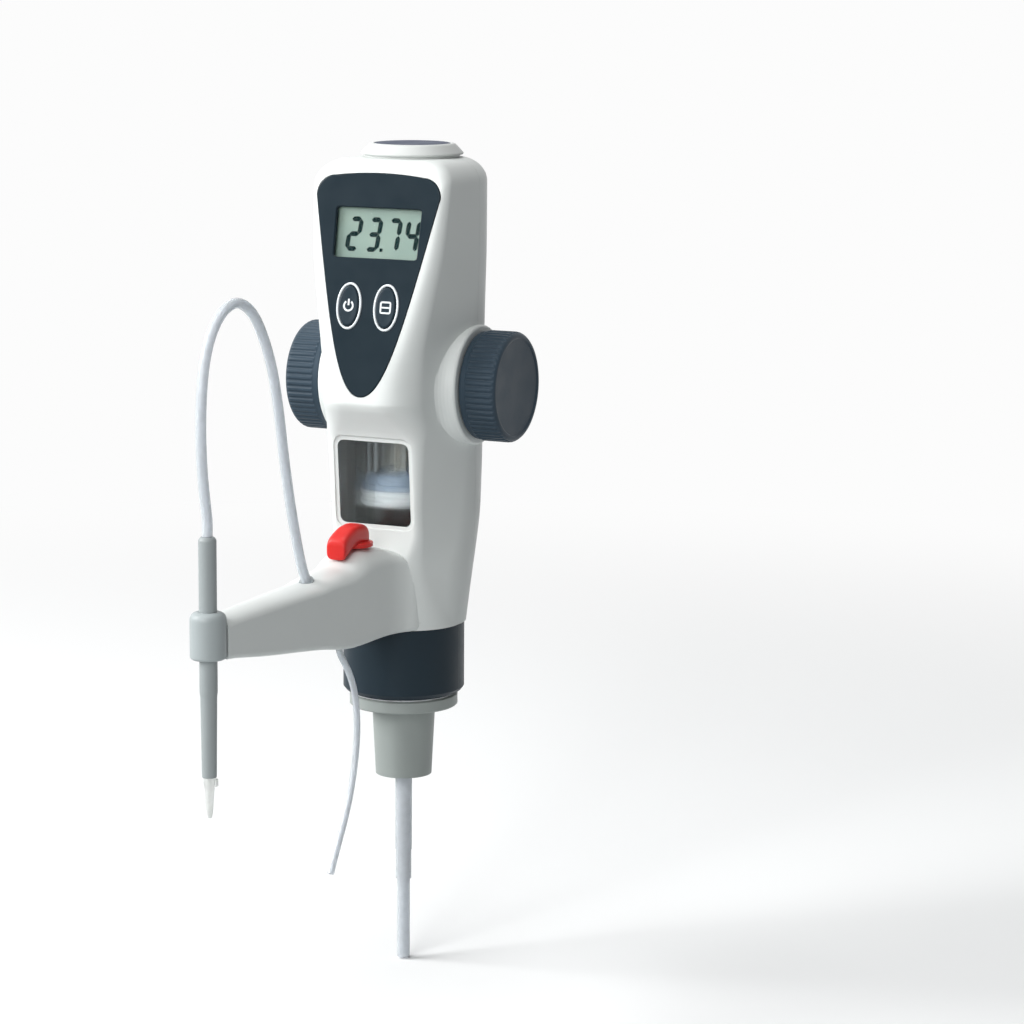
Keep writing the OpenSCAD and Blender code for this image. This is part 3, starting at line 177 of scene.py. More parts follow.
def combine(obj, tools, how="DIFFERENCE"):
    """Booleans, one after the other, each kept in the mesh; the tools are used up."""
    for tool in tools:
        cut = obj.modifiers.new("cut", "BOOLEAN")
        cut.operation, cut.object = how, tool
        for solver in ("MANIFOLD", "EXACT"):
            cut.solver = solver
            mesh = bpy.data.meshes.new_from_object(obj.evaluated_get(bpy.context.evaluated_depsgraph_get()))
            if len(mesh.polygons):
                break
        obj.modifiers.clear()
        spent = obj.data
        obj.data = mesh
        bpy.data.meshes.remove(spent)
        bpy.data.objects.remove(tool)
    return obj


def soften(obj, sharp=32, weighted=True):
    """Smooth shading but for edges over an angle; big flat faces lead the normals."""
    obj.data.polygons.foreach_set("use_smooth", np.ones(len(obj.data.polygons), bool))
    obj.data.set_sharp_from_angle(angle=np.radians(sharp))
    if weighted:
        lead = obj.modifiers.new("flat faces lead", "WEIGHTED_NORMAL")
        lead.keep_sharp = True
        lead.weight = 60
    return obj


def dress(obj, body, slot, finish, *nodes, sharp=32, weighted=True):
    """Shades a piece, gives it its finish, lets it ride on a body and stand for its CAD nodes."""
    soften(obj, sharp, weighted)
    obj.data.materials.clear()
    obj.data.materials.append(finish)
    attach(obj, body)
    if nodes:
        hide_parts(*nodes)
    return obj


# ---- materials
def srgb(code):
    """A hex colour as linear red, green, blue and full cover."""
    value = np.array([int(code[i:i + 2], 16) for i in (1, 3, 5)]) / 255
    linear = np.where(value <= 0.04045, value / 12.92, ((value + 0.055) / 1.055) ** 2.4)
    return (*linear.tolist(), 1.0)


def add(tree, kind, inputs=None, **settings):
    """One node with its own settings; an input's value is a number, a colour or the socket it is linked to."""
    node = tree.nodes.new("ShaderNode" + kind)
    for name, value in settings.items():
        setattr(node, name, value)
    for name, value in (inputs or {}).items():
        socket = node.inputs[name]
        if isinstance(value, bpy.types.NodeSocket):
            tree.links.new(value, socket)
        else:
            socket.default_value = value
    return node


def new_material(name):
    """A material, its node tree, and the object coordinates in millimetres."""
    material = bpy.data.materials.new(name)
    material.use_nodes = True
    tree = material.node_tree
    tree.nodes.clear()
    place = add(tree, "TexCoord").outputs["Object"]
    mm = add(tree, "VectorMath", {0: place, 1: (1000, 1000, 1000)}, operation="MULTIPLY").outputs[0]
    return material, tree, mm


# Pattern scales, in cells per millimetre: clouds of 22 mm where the melt flowed, patches of 11 mm worn by hands,
# waves of 8 mm in drawn sheet, die marks of 3 mm on tubing, clouds of 17 mm in the display, and its reflector's
# grain, drawn coarse at 0.3 mm so that it shows
FLOW, WORN, DRAWN, DIE, LCD_CLOUDS, LCD_GRAIN = 0.045, 0.09, 0.12, 0.35, 0.06, 3.0


def moulded(name, colour, rough, grain=0.6, depth=0.03, cloud=0.03, coat=0.0, under=None, sheen=0.5):
    """Injection-moulded plastic: a spark-eroded grain in the bump, faint clouds of tone from the melt's flow,
    and a roughness that wanders where hands have polished it."""
    material, tree, mm = new_material(name)
    flow = add(tree, "TexNoise", {"Vector": mm, "Scale": FLOW, "Detail": 3.0, "Roughness": 0.55})
    tone = add(tree, "MapRange", {"Value": flow.outputs[0], 1: 0.3, 2: 0.7, 3: 1 - cloud, 4: 1 + cloud})
    base = add(tree, "VectorMath", {0: srgb(colour)[:3], 3: tone.outputs[0]}, operation="SCALE")
    fine = add(tree, "TexNoise", {"Vector": mm, "Scale": 1 / grain, "Detail": 2.0, "Roughness": 0.6})
    worn = add(tree, "TexNoise", {"Vector": mm, "Scale": WORN, "Detail": 4.0, "Roughness": 0.6})
    gloss = add(tree, "MapRange", {"Value": worn.outputs[0], 1: 0.3, 2: 0.7, 3: rough - 0.05, 4: rough + 0.06})
    bump = add(tree, "Bump", {"Height": fine.outputs[0], "Strength": 0.5, "Distance": depth / 1000})
    shell = {"Base Color": base.outputs[0], "Roughness": gloss.outputs[0], "Normal": bump.outputs[0],
             "IOR": 1.52, "Specular IOR Level": sheen, "Coat Weight": coat, "Coat Roughness": 0.12}
    if under:
        shell |= {"Subsurface Weight": 0.25, "Subsurface Radius": under, "Subsurface Scale": 0.002}
    shader = add(tree, "BsdfPrincipled", shell)
    add(tree, "OutputMaterial", {"Surface": shader.outputs[0]})
    return material


def metal(name, colour, rough, lay=(0.15, 6.0, 6.0), depth=0.004):
    """Ground or drawn metal: fine scratches stretched along the lay, which spread the gloss across it."""
    material, tree, mm = new_material(name)
    stretch = add(tree, "Mapping", {"Vector": mm, "Scale": lay})
    scratch = add(tree, "TexNoise", {"Vector": stretch.outputs[0], "Scale": 1.0, "Detail": 3.0, "Roughness": 0.6})
    gloss = add(tree, "MapRange", {"Value": scratch.outputs[0], 1: 0.3, 2: 0.7, 3: rough - 0.06, 4: rough + 0.08})
    bump = add(tree, "Bump", {"Height": scratch.outputs[0], "Strength": 0.4, "Distance": depth / 1000})
    shader = add(tree, "BsdfPrincipled", {"Base Color": srgb(colour), "Metallic": 1.0, "Roughness": gloss.outputs[0],
                                          "Normal": bump.outputs[0]})
    add(tree, "OutputMaterial", {"Surface": shader.outputs[0]})
    return material


def clear(name, colour, rough, ior, cover):
    """Clear glass or plastic: a share of the surface, its cover, bends and mirrors, and the rest lets light straight
    through as a thin wall does; a faint drawn waviness ripples the gloss."""
    material, tree, mm = new_material(name)
    drawn = add(tree, "TexNoise", {"Vector": mm, "Scale": DRAWN, "Detail": 2.0, "Roughness": 0.5})
    bump = add(tree, "Bump", {"Height": drawn.outputs[0], "Strength": 0.3, "Distance": 0.00001})
    shader = add(tree, "BsdfPrincipled", {"Base Color": srgb(colour), "Roughness": rough, "IOR": ior, "Alpha": cover,
                                          "Transmission Weight": 1.0, "Normal": bump.outputs[0]})
    add(tree, "OutputMaterial", {"Surface": shader.outputs[0]})
    return material


def flexible(name, colour, see, rough):
    """Extruded fluoropolymer tubing: milky and translucent, with a faint die line along its length."""
    material, tree, mm = new_material(name)
    die = add(tree, "TexNoise", {"Vector": mm, "Scale": DIE, "Detail": 3.0, "Roughness": 0.6})
    tone = add(tree, "MapRange", {"Value": die.outputs[0], 1: 0.3, 2: 0.7, 3: 0.94, 4: 1.03})
    base = add(tree, "VectorMath", {0: srgb(colour)[:3], 3: tone.outputs[0]}, operation="SCALE")
    bump = add(tree, "Bump", {"Height": die.outputs[0], "Strength": 0.4, "Distance": 0.00002})
    shader = add(tree, "BsdfPrincipled", {"Base Color": base.outputs[0], "Roughness": rough, "IOR": 1.38,
                                          "Transmission Weight": see, "Subsurface Weight": 0.3,
                                          "Subsurface Radius": (1.0, 1.0, 1.0), "Subsurface Scale": 0.002,
                                          "Normal": bump.outputs[0]})
    add(tree, "OutputMaterial", {"Surface": shader.outputs[0]})
    return material


# Satin ABS from spark-eroded moulds: bright where lit, soft at the grazing edge
HOUSING = moulded("housing_abs_satin", "#e0e4e2", 0.42, grain=0.5, depth=0.02, cloud=0.012, sheen=0.35)
CAP = moulded("cap_abs_white", "#d0d3d1", 0.42, grain=0.5, depth=0.015, cloud=0.01, sheen=0.3)
# PBT moulded smooth: dark, with one soft light down its side
BLOCK = moulded("valve_block_pbt_navy", "#1f2d36", 0.42, cloud=0.05, sheen=0.16)
# Polypropylene moulded dull: a waxy grey without a sharp gleam
ADAPTER = moulded("adapter_polypropylene_grey", "#9aa19e", 0.45, grain=0.8)
# Printed polyester film, flat and nearly matt, and the ABS keys in it, a shade lighter
FILM = moulded("panel_film_polyester_navy", "#11222b", 0.33, grain=0.4, depth=0.006, sheen=0.14)
KEYS = moulded("key_cap_abs_navy", "#182933", 0.38, grain=0.5, depth=0.01, sheen=0.16)
# Acrylic light guides, polished: white with a crisp line of gloss
RING = moulded("light_guide_acrylic_white", "#e6ecef", 0.25, grain=0.8, depth=0.004, cloud=0.02, coat=0.4)
# ABS disc with a fine matt grain: a deep slate that hardly mirrors
INLAY = moulded("cap_inlay_abs_slate", "#353e52", 0.45, depth=0.006, sheen=0.08)
# Grained polyamide, polished by hands: a broad sheen over the ridges
WHEEL = moulded("handwheel_polyamide_slate", "#33424e", 0.43, cloud=0.05, sheen=0.17)
# Red polypropylene moulded smooth: its thin edges let a little light back out
LEVER = moulded("lever_polypropylene_red", "#d62723", 0.36, grain=0.9, depth=0.012, cloud=0.04,
                under=(1.0, 0.2, 0.1), sheen=0.3)
# Satin greys, ABS and extruded PVDF: soft bands of light along the round parts
CLAMP = moulded("clamp_abs_grey", "#a7afb0", 0.42, grain=0.5, depth=0.02, cloud=0.02, sheen=0.35)
SLEEVE = moulded("titration_sleeve_pvdf_grey", "#9ba2a3", 0.4, grain=0.7, depth=0.015, sheen=0.35)
NOZZLE = flexible("nozzle_etfe_milky", "#f8faf8", 0.6, 0.3)
TUBING = flexible("tubing_fep_milky", "#ecf1f6", 0.45, 0.22)
# Skived PTFE is chalk white and glows a little, moulded rubber black and dull
PTFE = moulded("seal_ptfe_white", "#f4f7f9", 0.36, grain=1.2, depth=0.01, under=(1.0, 1.0, 1.0))
ELASTOMER = moulded("seal_fkm_black", "#22282b", 0.5, depth=0.02, cloud=0.05)
# Glass-filled polyamide shows cloudy fibre marks; the sensor's plastic is plain matt black
CHASSIS = moulded("chassis_glass_filled_grey", "#414b52", 0.55, grain=1.1, depth=0.06, cloud=0.08)
BLACK = moulded("sensor_plastic_black", "#1d2124", 0.5, cloud=0.06)
# Machined acetal is creamy and slick, the moulded carrier a cool translucent blue
ACETAL = moulded("gear_acetal_ivory", "#dcd7c8", 0.35, grain=0.9, depth=0.012, cloud=0.04, under=(1.0, 0.9, 0.7))
CARRIER = moulded("piston_carrier_pp_blue", "#95a7bd", 0.3, grain=0.9, depth=0.01, under=(0.6, 0.8, 1.0))
# Shrunk PVC sleeves and the lacquered board: colour under a thin gloss
CELL = moulded("cell_sleeve_pvc_blue", "#37678f", 0.25, grain=1.4, depth=0.01, cloud=0.04, coat=0.3)
BOARD = moulded("board_solder_mask_green", "#2c6548", 0.35, grain=0.5, depth=0.02, cloud=0.08, coat=0.2)
# Ground steel streaks along its lay, sintered bronze is dull and even, nickel plate warm and bright
STEEL = metal("shaft_stainless_ground", "#b9bfc3", 0.3)
BRONZE = metal("bush_sintered_bronze", "#b98d50", 0.45, lay=(2.0, 2.0, 2.0), depth=0.02)
NICKEL = metal("contact_nickel_plated", "#cfc6a6", 0.3)
# Drawn glass and cast sheet: clear, with rippled glints; the display's lens is matt against glare
GLASS = clear("cylinder_borosilicate", "#f0f8fa", 0.02, 1.47, 0.35)
PANE = clear("window_polycarbonate", "#e3ecec", 0.04, 1.5, 0.3)
LENS = clear("display_lens_acrylic", "#f2f6f3", 0.16, 1.49, 0.15)
# Printing inks: flat colour without gloss
DIGITS = moulded("lcd_segment_ink", "#021f20", 0.5, grain=0.8, depth=0.002, cloud=0.05, sheen=0.03)
PRINT = moulded("key_icon_print_white", "#e4e9ec", 0.4, grain=0.5, depth=0.004, cloud=0.01)


def lcd_glass():
    """Reflective liquid crystal: grey green with a slow change of tone and the faint grain of its rear reflector."""
    material, tree, mm = new_material("lcd_reflector_grey_green")
    spots = add(tree, "TexNoise", {"Vector": mm, "Scale": LCD_CLOUDS, "Detail": 2.0, "Roughness": 0.5})
    ramp = add(tree, "ValToRGB", {"Fac": spots.outputs[0]})
    for stop, place, colour in zip(ramp.color_ramp.elements, (0.3, 0.7), ("#7c938a", "#849a8f")):
        stop.position, stop.color = place, srgb(colour)
    reflector = add(tree, "TexNoise", {"Vector": mm, "Scale": LCD_GRAIN, "Detail": 1.0})
    bump = add(tree, "Bump", {"Height": reflector.outputs[0], "Strength": 0.2, "Distance": 0.00001})
    shader = add(tree, "BsdfPrincipled", {"Base Color": ramp.outputs["Color"], "Roughness": 0.35, "IOR": 1.5,
                                          "Normal": bump.outputs[0]})
    add(tree, "OutputMaterial", {"Surface": shader.outputs[0]})
    return material


LCD = lcd_glass()

# ---- sizes shared with the part
SKIRT_Z, HEAD_TOP_Z, SHOULDER_R, SHOULDER_H, BROW_R, WALL = 40.0, 252.5, 13.0, 11.0, 7.0, 2.6
TIP_Z, TIP_REACH, LEAN, PANEL_W, PANEL_LEN = 148.3, 43.6, 11.5, 62.0, 100.5
WINDOW_Y, WINDOW_Z, WINDOW_TILT, WINDOW_W, WINDOW_H, RECESS, PANE_DEPTH = -30.25, 107.4, 4.5, 36.0, 38.5, 3.4, 1.2
WHEEL_Y, WHEEL_Z, WHEEL_X, WHEEL_T, WHEEL_R, RIDGES = 8.3, 150.0, 35.3, 18.0, 25.2, 56
ARM_REACH, ARM_WALL, CHIN_LOW_Z, CHIN_HIGH_Z = 178.5, 2.4, 124, 150
BULB_TOP_Z, LEVER_REACH, COLLAR_Z, COLLAR_H, COLLAR_R = 81.5, 48.0, 55.1, 20.0, 7.7
EXIT_Y, EXIT_Z, HOSE_Y, HOSE_R, RETURN_R = -93.5, 73.2, -63.5, 2.25, 1.5
TUBE_Z, TUBE_LEN, TUBE_R, TUBE_TIP_R, NOZZLE_LEN = 4.6, 102.0, 3.8, 3.1, 17.5
DOOR_W, DOOR_LOW_Z, DOOR_HIGH_Z, HINGE_Y, SLIP = 26.0, 160.3, 212.3, 41.1, 0.3
SHAFT_BORE, CAP_SEAT_R, SCREW_SEAT, DOOR_CUT_Y, POD_R = 5.5, 16.2, 5.7, WHEEL_Y + 20, 27.4
PANEL_FRONT, PANEL_T, BUTTON_X, BUTTON_UP, LCD_UP, LCD_W, LCD_H = 0.4, 2.0, 9.3, 40.5, 73.6, 43.0, 22.6
FACE_LOW_Z = TIP_Z - 3


def face_y(z):
    """The leaning face at a height: a straight line through the panel's tip."""
    return -TIP_REACH + (z - TIP_Z) * np.tan(np.radians(LEAN))


def window_face_y(z):
    """The front at the window: a straight line through the pane's middle."""
    return WINDOW_Y - (z - WINDOW_Z) * np.tan(np.radians(WINDOW_TILT))


FACE = leaning((0, -TIP_REACH, TIP_Z), 90 - LEAN)
PANE_PLANE = leaning((0, WINDOW_Y, WINDOW_Z), 90 + WINDOW_TILT)

# The housing: height, half width, rear arc's centre, front face, half width of the front's flat, corner radius
STATIONS = np.array([
    [40, 28.8, 0, -28.8, 3, 25.8], [56, 30.2, 1.328, -28.8, 8, 18], [71, 31.5, 2.905, -28.8, 14, 9],
    [83.4, 32.2, 4.98, window_face_y(83.4), 18.5, 5], [93.4, 32.5, 6.225, window_face_y(93.4), 19.3, 4],
    [125.4, 32.6, 8.051, window_face_y(125.4), 18.8, 6], [129.8, 32.6, 8.3, -33.1, 17, 8.5],
    [134.3, 32.6, 8.3, -36.2, 13.5, 12], [139.3, 32.6, 8.3, -40.5, 10, 15.5], [142.3, 32.6, 8.3, -43, 8.6, 16.8],
    [145.3, 32.6, 8.3, face_y(145.3), 8, 17.3], [156.3, 32.7, 8.3, face_y(156.3), 10, 15.5],
    [171.3, 33, 8.3, face_y(171.3), 15.6, 11], [189.3, 33.4, 8.3, face_y(189.3), 20.8, 8.5],
    [211.3, 33.9, 8.3, face_y(211.3), 26, 6.6], [237.3, 34, 8.3, face_y(237.3), 29.8, 4.4],
    [252.5, 34, 8.3, face_y(252.5), 29.8, 4.4]])

# The arm: distance in front of the axis, half width, underside, ridge, drop from ridge to side
ARM_STATIONS = np.array([
    [10, 22, 40, 73.5, 4], [25, 19, 40, 76.8, 6], [29, 16.4, 40, 78, 6.8], [33, 14.7, 40, 79.1, 7.4],
    [38, 13.5, 40, 80.2, 8], [48, 12.8, 40, 81.4, 8.8], [56, 12.7, 40, 81, 8.9], [60, 12.6, 40, 80, 8.8],
    [63, 12.5, 40, 78.6, 8.4], [66, 12.45, 40.1, 77.2, 7.8], [70, 12.4, 40.2, 75.9, 7.1], [78, 12.1, 41, 75.2, 6.2],
    [84, 11.8, 41.9, 74.6, 5.4], [90, 11.5, 43, 74, 4.8], [97, 11.1, 44.2, 73, 4.3], [112, 10.4, 46.2, 72.8, 4],
    [142.5, 9.1, 50, 72.5, 4], [166.5, 8, 53.6, 72, 3.8], [174.5, 7.6, 54.4, 71.7, 3.8]])


def smooth(table, x, column):
    """Cubic Hermite curve through a table's rows, with each row's slope taken from its two neighbours."""
    xs, ys = table[:, 0], table[:, column]
    slope = np.empty(len(xs))
    slope[1:-1] = (ys[2:] - ys[:-2]) / (xs[2:] - xs[:-2])
    slope[0], slope[-1] = (ys[1] - ys[0]) / (xs[1] - xs[0]), (ys[-1] - ys[-2]) / (xs[-1] - xs[-2])
    v = np.clip(x, xs[0], xs[-1])
    i = np.clip(np.searchsorted(xs, v, side="right") - 1, 0, len(xs) - 2)
    h = xs[i + 1] - xs[i]
    t = (v - xs[i]) / h
    return ((1 + 2 * t) * (1 - t) ** 2 * ys[i] + t * (1 - t) ** 2 * h * slope[i]
            + t ** 2 * (3 - 2 * t) * ys[i + 1] - t ** 2 * (1 - t) * h * slope[i + 1])


def edge(z, inward, across, down):
    """How far a rounded top edge has drawn in at a height, with the wall: a quarter of an ellipse."""
    up = np.clip((z - (HEAD_TOP_Z - down)) / (down - inward), 0, 1)
    return inward + (across - inward) * (1 - np.sqrt(1 - up * up))


def head_rings(z, inward, rear_n, corner_n):
    """Levels of the housing moved inward by a wall: a rear arc of radius a about (0, rear), two straight sides that
    touch it and the front corner arcs of radius rho, and a flat front; the top edge is a quarter ellipse, smaller
    over the front than over the sides, and the corners grow rounder by the difference."""
    z = np.asarray(z, float)[:, None]
    t = edge(z, inward, SHOULDER_R, SHOULDER_H)
    brow = edge(z, inward, BROW_R, BROW_R)
    rounder = np.maximum(t - brow, 0)
    a = smooth(STATIONS, z, 1) - t
    rear = smooth(STATIONS, z, 2)
    front = np.where(z >= FACE_LOW_Z, face_y(z), smooth(STATIONS, z, 3))
    corner = smooth(STATIONS, z, 5)
    rho = np.maximum(corner - brow, 1.2) + rounder
    half = smooth(STATIONS, z, 4) - np.maximum(0, brow - (corner - 1.2)) - 2 * rounder
    mid = front + brow + rho
    side = np.arctan2(mid - rear, half) + np.arccos((a - rho) / np.hypot(half, mid - rear))
    s = np.linspace(0, 1, rear_n)[None]
    back = arc(0, rear, side + s * (np.pi - 2 * side), a)
    s = np.linspace(0, 1, corner_n)[None]
    left = arc(-half, mid, np.pi - side + s * (np.pi / 2 + side), rho)
    right = arc(half, mid, 1.5 * np.pi + s * (np.pi / 2 + side), rho)

    def between(a_end, b_end, n):
        w = np.linspace(0, 1, n + 2)[1:-1][None, :, None]
        return (1 - w) * a_end[:, None] + w * b_end[:, None]

    flat = np.concatenate([back, between(back[:, -1], left[:, 0], 7),
                           left, between(left[:, -1], right[:, 0], 11),
                           right, between(right[:, -1], back[:, 0], 7)], 1)
    return np.concatenate([flat, np.broadcast_to(z[:, :, None], flat.shape[:2] + (1,))], -1)


def head_solid(name, inward=0.0, down=0.0, fine=True):
    """The housing as one solid: close levels at the chin and round the shoulder, or coarse ones for the hollow."""
    top = HEAD_TOP_Z - SHOULDER_H
    turn = np.sin(np.linspace(0, np.pi / 2, 22 if fine else 7))[1:]
    if fine:
        levels = np.concatenate([np.linspace(SKIRT_Z, CHIN_LOW_Z, 66),
                                 np.linspace(CHIN_LOW_Z + 0.8, CHIN_HIGH_Z, 42),
                                 np.linspace(CHIN_HIGH_Z + 2, top, 52)])
    else:
        levels = np.concatenate([[SKIRT_Z - down], np.linspace(SKIRT_Z, CHIN_LOW_Z, 18)[1:],
                                 np.linspace(CHIN_LOW_Z + 3, CHIN_HIGH_Z, 10),
                                 np.linspace(CHIN_HIGH_Z + 6, top, 14)])
    levels = np.concatenate([levels, top + (SHOULDER_H - inward) * turn])
    rings = head_rings(levels, inward, 97 if fine else 41, 15 if fine else 7)
    if inward:
        rings[0, :, 2] = SKIRT_Z - down
    return loft(name, rings)


def arm_rings(reach, inward, crown_n):
    """Sections of the arm: the top is a half ellipse of half width w and the section's drop, the sides are upright,
    and the two lower corners are quarter circles."""
    reach = np.asarray(reach, float)[:, None]
    w = smooth(ARM_STATIONS, reach, 1) - inward
    low = smooth(ARM_STATIONS, reach, 2) + inward
    top = smooth(ARM_STATIONS, reach, 3) - inward
    drop = smooth(ARM_STATIONS, reach, 4)
    crown = arc(0, top - drop, np.linspace(0, np.pi, crown_n)[None], w, drop)
    r, p = 2.5, np.linspace(np.pi, 1.5 * np.pi, 7)[None]
    flat = np.concatenate([crown, arc(r - w, low + r, p, r), arc(w - r, low + r, p + np.pi / 2, r)], 1)
    y = np.broadcast_to(-reach[:, :, None], flat.shape[:2] + (1,))
    return np.concatenate([flat[..., :1], y, flat[..., 1:]], -1)


def arm_solid(name, start, end, inward=0.0, fine=True):
    """The arm from one distance in front of the axis to another."""
    return loft(name, arm_rings(np.linspace(start, end, 90 if fine else 30), inward, 41 if fine else 17))


def shield(inward):
    """Panel outline: half width grows as a power of the height above the tip, to rounded top corners and a top
    edge arched by a parabola; every point moves inward by the same step."""
    s = np.linspace(0, 1, 61)[1:]
    side_len = 0.895 * PANEL_LEN
    up = (side_len - inward) * s ** 2.2
    u = up / side_len
    half = PANEL_W / 2 * u ** (0.48 + 0.15 * u)
    x = np.maximum(half - inward * np.where(s < 0.15, 0.4, 1), 0)
    right = np.stack([x, up + inward * (1 - s) * 1.1], -1)
    w, top, crown, r = x[-1], PANEL_LEN - inward, 1.5, 9.0
    corner = arc(w - r, top - crown - r, np.linspace(0, np.pi / 2, 15)[1:], r)
    x = np.linspace(w - r, r - w, 30)[1:-1]
    arch = np.stack([x, top - crown * (x / (w - r)) ** 2], -1)
    edge_half = np.concatenate([right, corner])
    return np.concatenate([[[0, inward * 1.1 + 0.02]], edge_half, arch, edge_half[::-1] * [-1, 1]])


def oval(width, height, centre, n=72, power=2.05):
    """Superellipse of that width and height, a little fuller than an ellipse."""
    p = full_turn(n)
    return np.stack([centre[0] + width / 2 * signed_power(np.cos(p), 2 / power),
                     centre[1] + height / 2 * signed_power(np.sin(p), 2 / power)], -1)


def round_box(width, height, radius, centre=(0, 0)):
    """Rectangle outline with quarter-circle corners."""
    p, x, y = np.linspace(0, np.pi / 2, 7), width / 2 - radius, height / 2 - radius
    corners = [arc(x, y, p, radius), arc(-x, y, p + np.pi / 2, radius),
               arc(-x, -y, p + np.pi, radius), arc(x, -y, p + 1.5 * np.pi, radius)]
    return np.concatenate(corners) + centre


def stacked(outlines, levels, plane=None):
    """Rows of points: one flat outline at each level, in a plane's own frame or in the object's."""
    rings = np.stack([np.column_stack([o, np.full(len(o), z)]) for o, z in zip(outlines, levels)])
    return rings if plane is None else rings @ plane[1] + plane[0]


def plate(name, outlines, levels, plane=None):
    """A flat piece with eased edges: one outline for each level, closed by a flat face at both ends."""
    return loft(name, stacked(outlines, levels, plane))


def prism(name, outline, low, high, plane=None):
    """A flat outline (anticlockwise) raised from low to high in a plane's own frame."""
    return plate(name, [outline] * 2, [low, high], plane)


def block(name, low, high):
    """A plain box, for cutting."""
    (x0, y0, z0), (x1, y1, z1) = low, high
    return prism(name, [[x0, y0], [x1, y0], [x1, y1], [x0, y1]], z0, z1)


def rod(name, radius, start, end):
    """A round bar between two points, for cutting."""
    start, end = np.asarray(start, float), np.asarray(end, float)
    ahead = unit(end - start)
    side = unit(np.cross(ahead, [0, 0, 1] if abs(ahead[2]) < 0.9 else [1, 0, 0]))
    p = full_turn(40)[:, None]
    ring = radius * (np.cos(p) * side + np.sin(p) * np.cross(ahead, side))
    return loft(name, np.stack([start + ring, end + ring]))


# ---- flexible tubes first
# Points (y, z) along each middle line, in the plane x = 0
LOOP = np.array([[EXIT_Y, EXIT_Z], [-99, 83.5], [-107, 107], [-113, 130], [-118, 153], [-124, 172], [-133, 188],
                 [-142, 197], [-153, 201], [-164, 198.5], [-173, 191], [-179, 180], [-182, 166], [-183, 150],
                 [-182, 134], [-180, 121.5], [-ARM_REACH, 113.5], [-ARM_REACH, TUBE_Z + TUBE_LEN + 0.15]], float)
RETURN = np.array([[HOSE_Y, 39.8], [HOSE_Y, 37.5], [-61.8, 34], [-58.5, 30.2], [-54, 24.5], [-50, 17.5], [-47.5, 9],
                   [-46.5, 0], [-47, -9], [-49, -19], [-53, -31], [-58.5, -42], [-66, -54], [-72, -64]], float)


def catmull(route, steps):
    """Catmull-Rom curve through (y, z) points, its ends led on in a straight line, cut into steps a stretch."""
    route = np.concatenate([2 * route[:1] - route[1:2], route, 2 * route[-1:] - route[-2:-1]])
    t = np.linspace(0, 1, steps, endpoint=False)[None, :, None]
    a, b, c, d = (route[i:len(route) - 3 + i][:, None] for i in range(4))
    curve = 0.5 * (2 * b + (c - a) * t + (2 * a - 5 * b + 4 * c - d) * t ** 2 + (3 * b - a - 3 * c + d) * t ** 3)
    line = np.concatenate([curve.reshape(-1, 2), route[-2:-1]])
    return np.column_stack([np.zeros(len(line)), line])


def hose(name, route, radius, bore):
    """Tubing with an open bore: circles of two radii carried along a curve, one there and one back, as a ring."""
    line = catmull(route, 8)
    across = np.cross(unit(np.gradient(line, axis=0)), [1.0, 0, 0])
    p = full_turn(28)[None, :, None]
    circle = np.cos(p) * np.array([1.0, 0, 0]) + np.sin(p) * across[:, None]
    rings = np.concatenate([line[:, None] + radius * circle, (line[:, None] + bore * circle)[::-1]])
    return to_object(name, *closed_grid(rings, True)), line


loop, line = hose("loop_hose", LOOP, HOSE_R, 1.3)
soften(loop, 60, False)
loop.data.materials.append(TUBING)
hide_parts("loop_tube")
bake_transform(loop)

hanging, line = hose("hanging_hose", RETURN, RETURN_R, 0.8)
soften(hanging, 60, False)
hanging.data.materials.append(TUBING)
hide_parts("return_hose")
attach(hanging, "body")


# ---- housing
def pods(name, grow=0.0, foot=False):
    """The two round bosses under the handwheels; at the front a concave quarter ellipse leads onto each."""
    face = WHEEL_X - 0.4 - grow
    low = [(22 - grow, 20), (POD_R - grow, 30.5)]
    if foot:
        p = np.linspace(0, np.pi / 2, 9)
        low = np.stack([POD_R + 7.6 * (1 - np.sin(p)), 25.4 + 8 * (1 - np.cos(p))], -1).tolist()
    outline = [(0, 20)] + low + [(POD_R - grow, 34 - grow / 2), (POD_R - 0.8 - grow, face), (0, face)]
    outline = fillet(outline, [0.1] * len(low) + [0.8, 0.6])
    return [turned(name, outline if sign > 0 else outline[::-1] * [1, -1], (0, WHEEL_Y, WHEEL_Z), "X", 96)
            for sign in (1, -1)]


# Screw bosses: distance from the middle plane, height, radius
BOSSES = [(28.0, TIP_Z + 85, 4.0), (26.4, SKIRT_Z + 40, 3.2)]
SEAM = 0.06


def boss_rods(low, high, radius=None, extra=0.0):
    """Rods at the four screw bosses, all of one radius or each of its boss's own with some extra."""
    return [rod("boss", radius or r + extra, (s * x, WHEEL_Y + low, z), (s * x, WHEEL_Y + high, z))
            for x, z, r in BOSSES for s in (-1, 1)]


def shaft_and_cap():
    """The bore of the handwheels' shaft and the seat of the cap, which both shells share."""
    return [rod("shaft", SHAFT_BORE, (-40, WHEEL_Y, WHEEL_Z), (40, WHEEL_Y, WHEEL_Z)),
            rod("cap", CAP_SEAT_R, (0, WHEEL_Y, HEAD_TOP_Z - 4), (0, WHEEL_Y, HEAD_TOP_Z + 5))]


def window_tool(width, height, radius, out, depth):
    """A rounded box that cuts the window, from out of its face down to a depth."""
    return prism("window", round_box(width, height, radius), out - depth, out, PANE_PLANE)


def window_flare():
    """The shallow step round the window, its outer edge rolled over."""
    depth = np.array([1.2, 0.3, 0.05, -0.25, -0.6])
    grow = RECESS + np.array([2.2, 1.1, 0.55, 0.12, 0.0])
    outlines = [round_box(WINDOW_W + g, WINDOW_H + g, 2.8 + g / 2) for g in grow]
    return plate("flare", outlines[::-1], depth[::-1], PANE_PLANE)


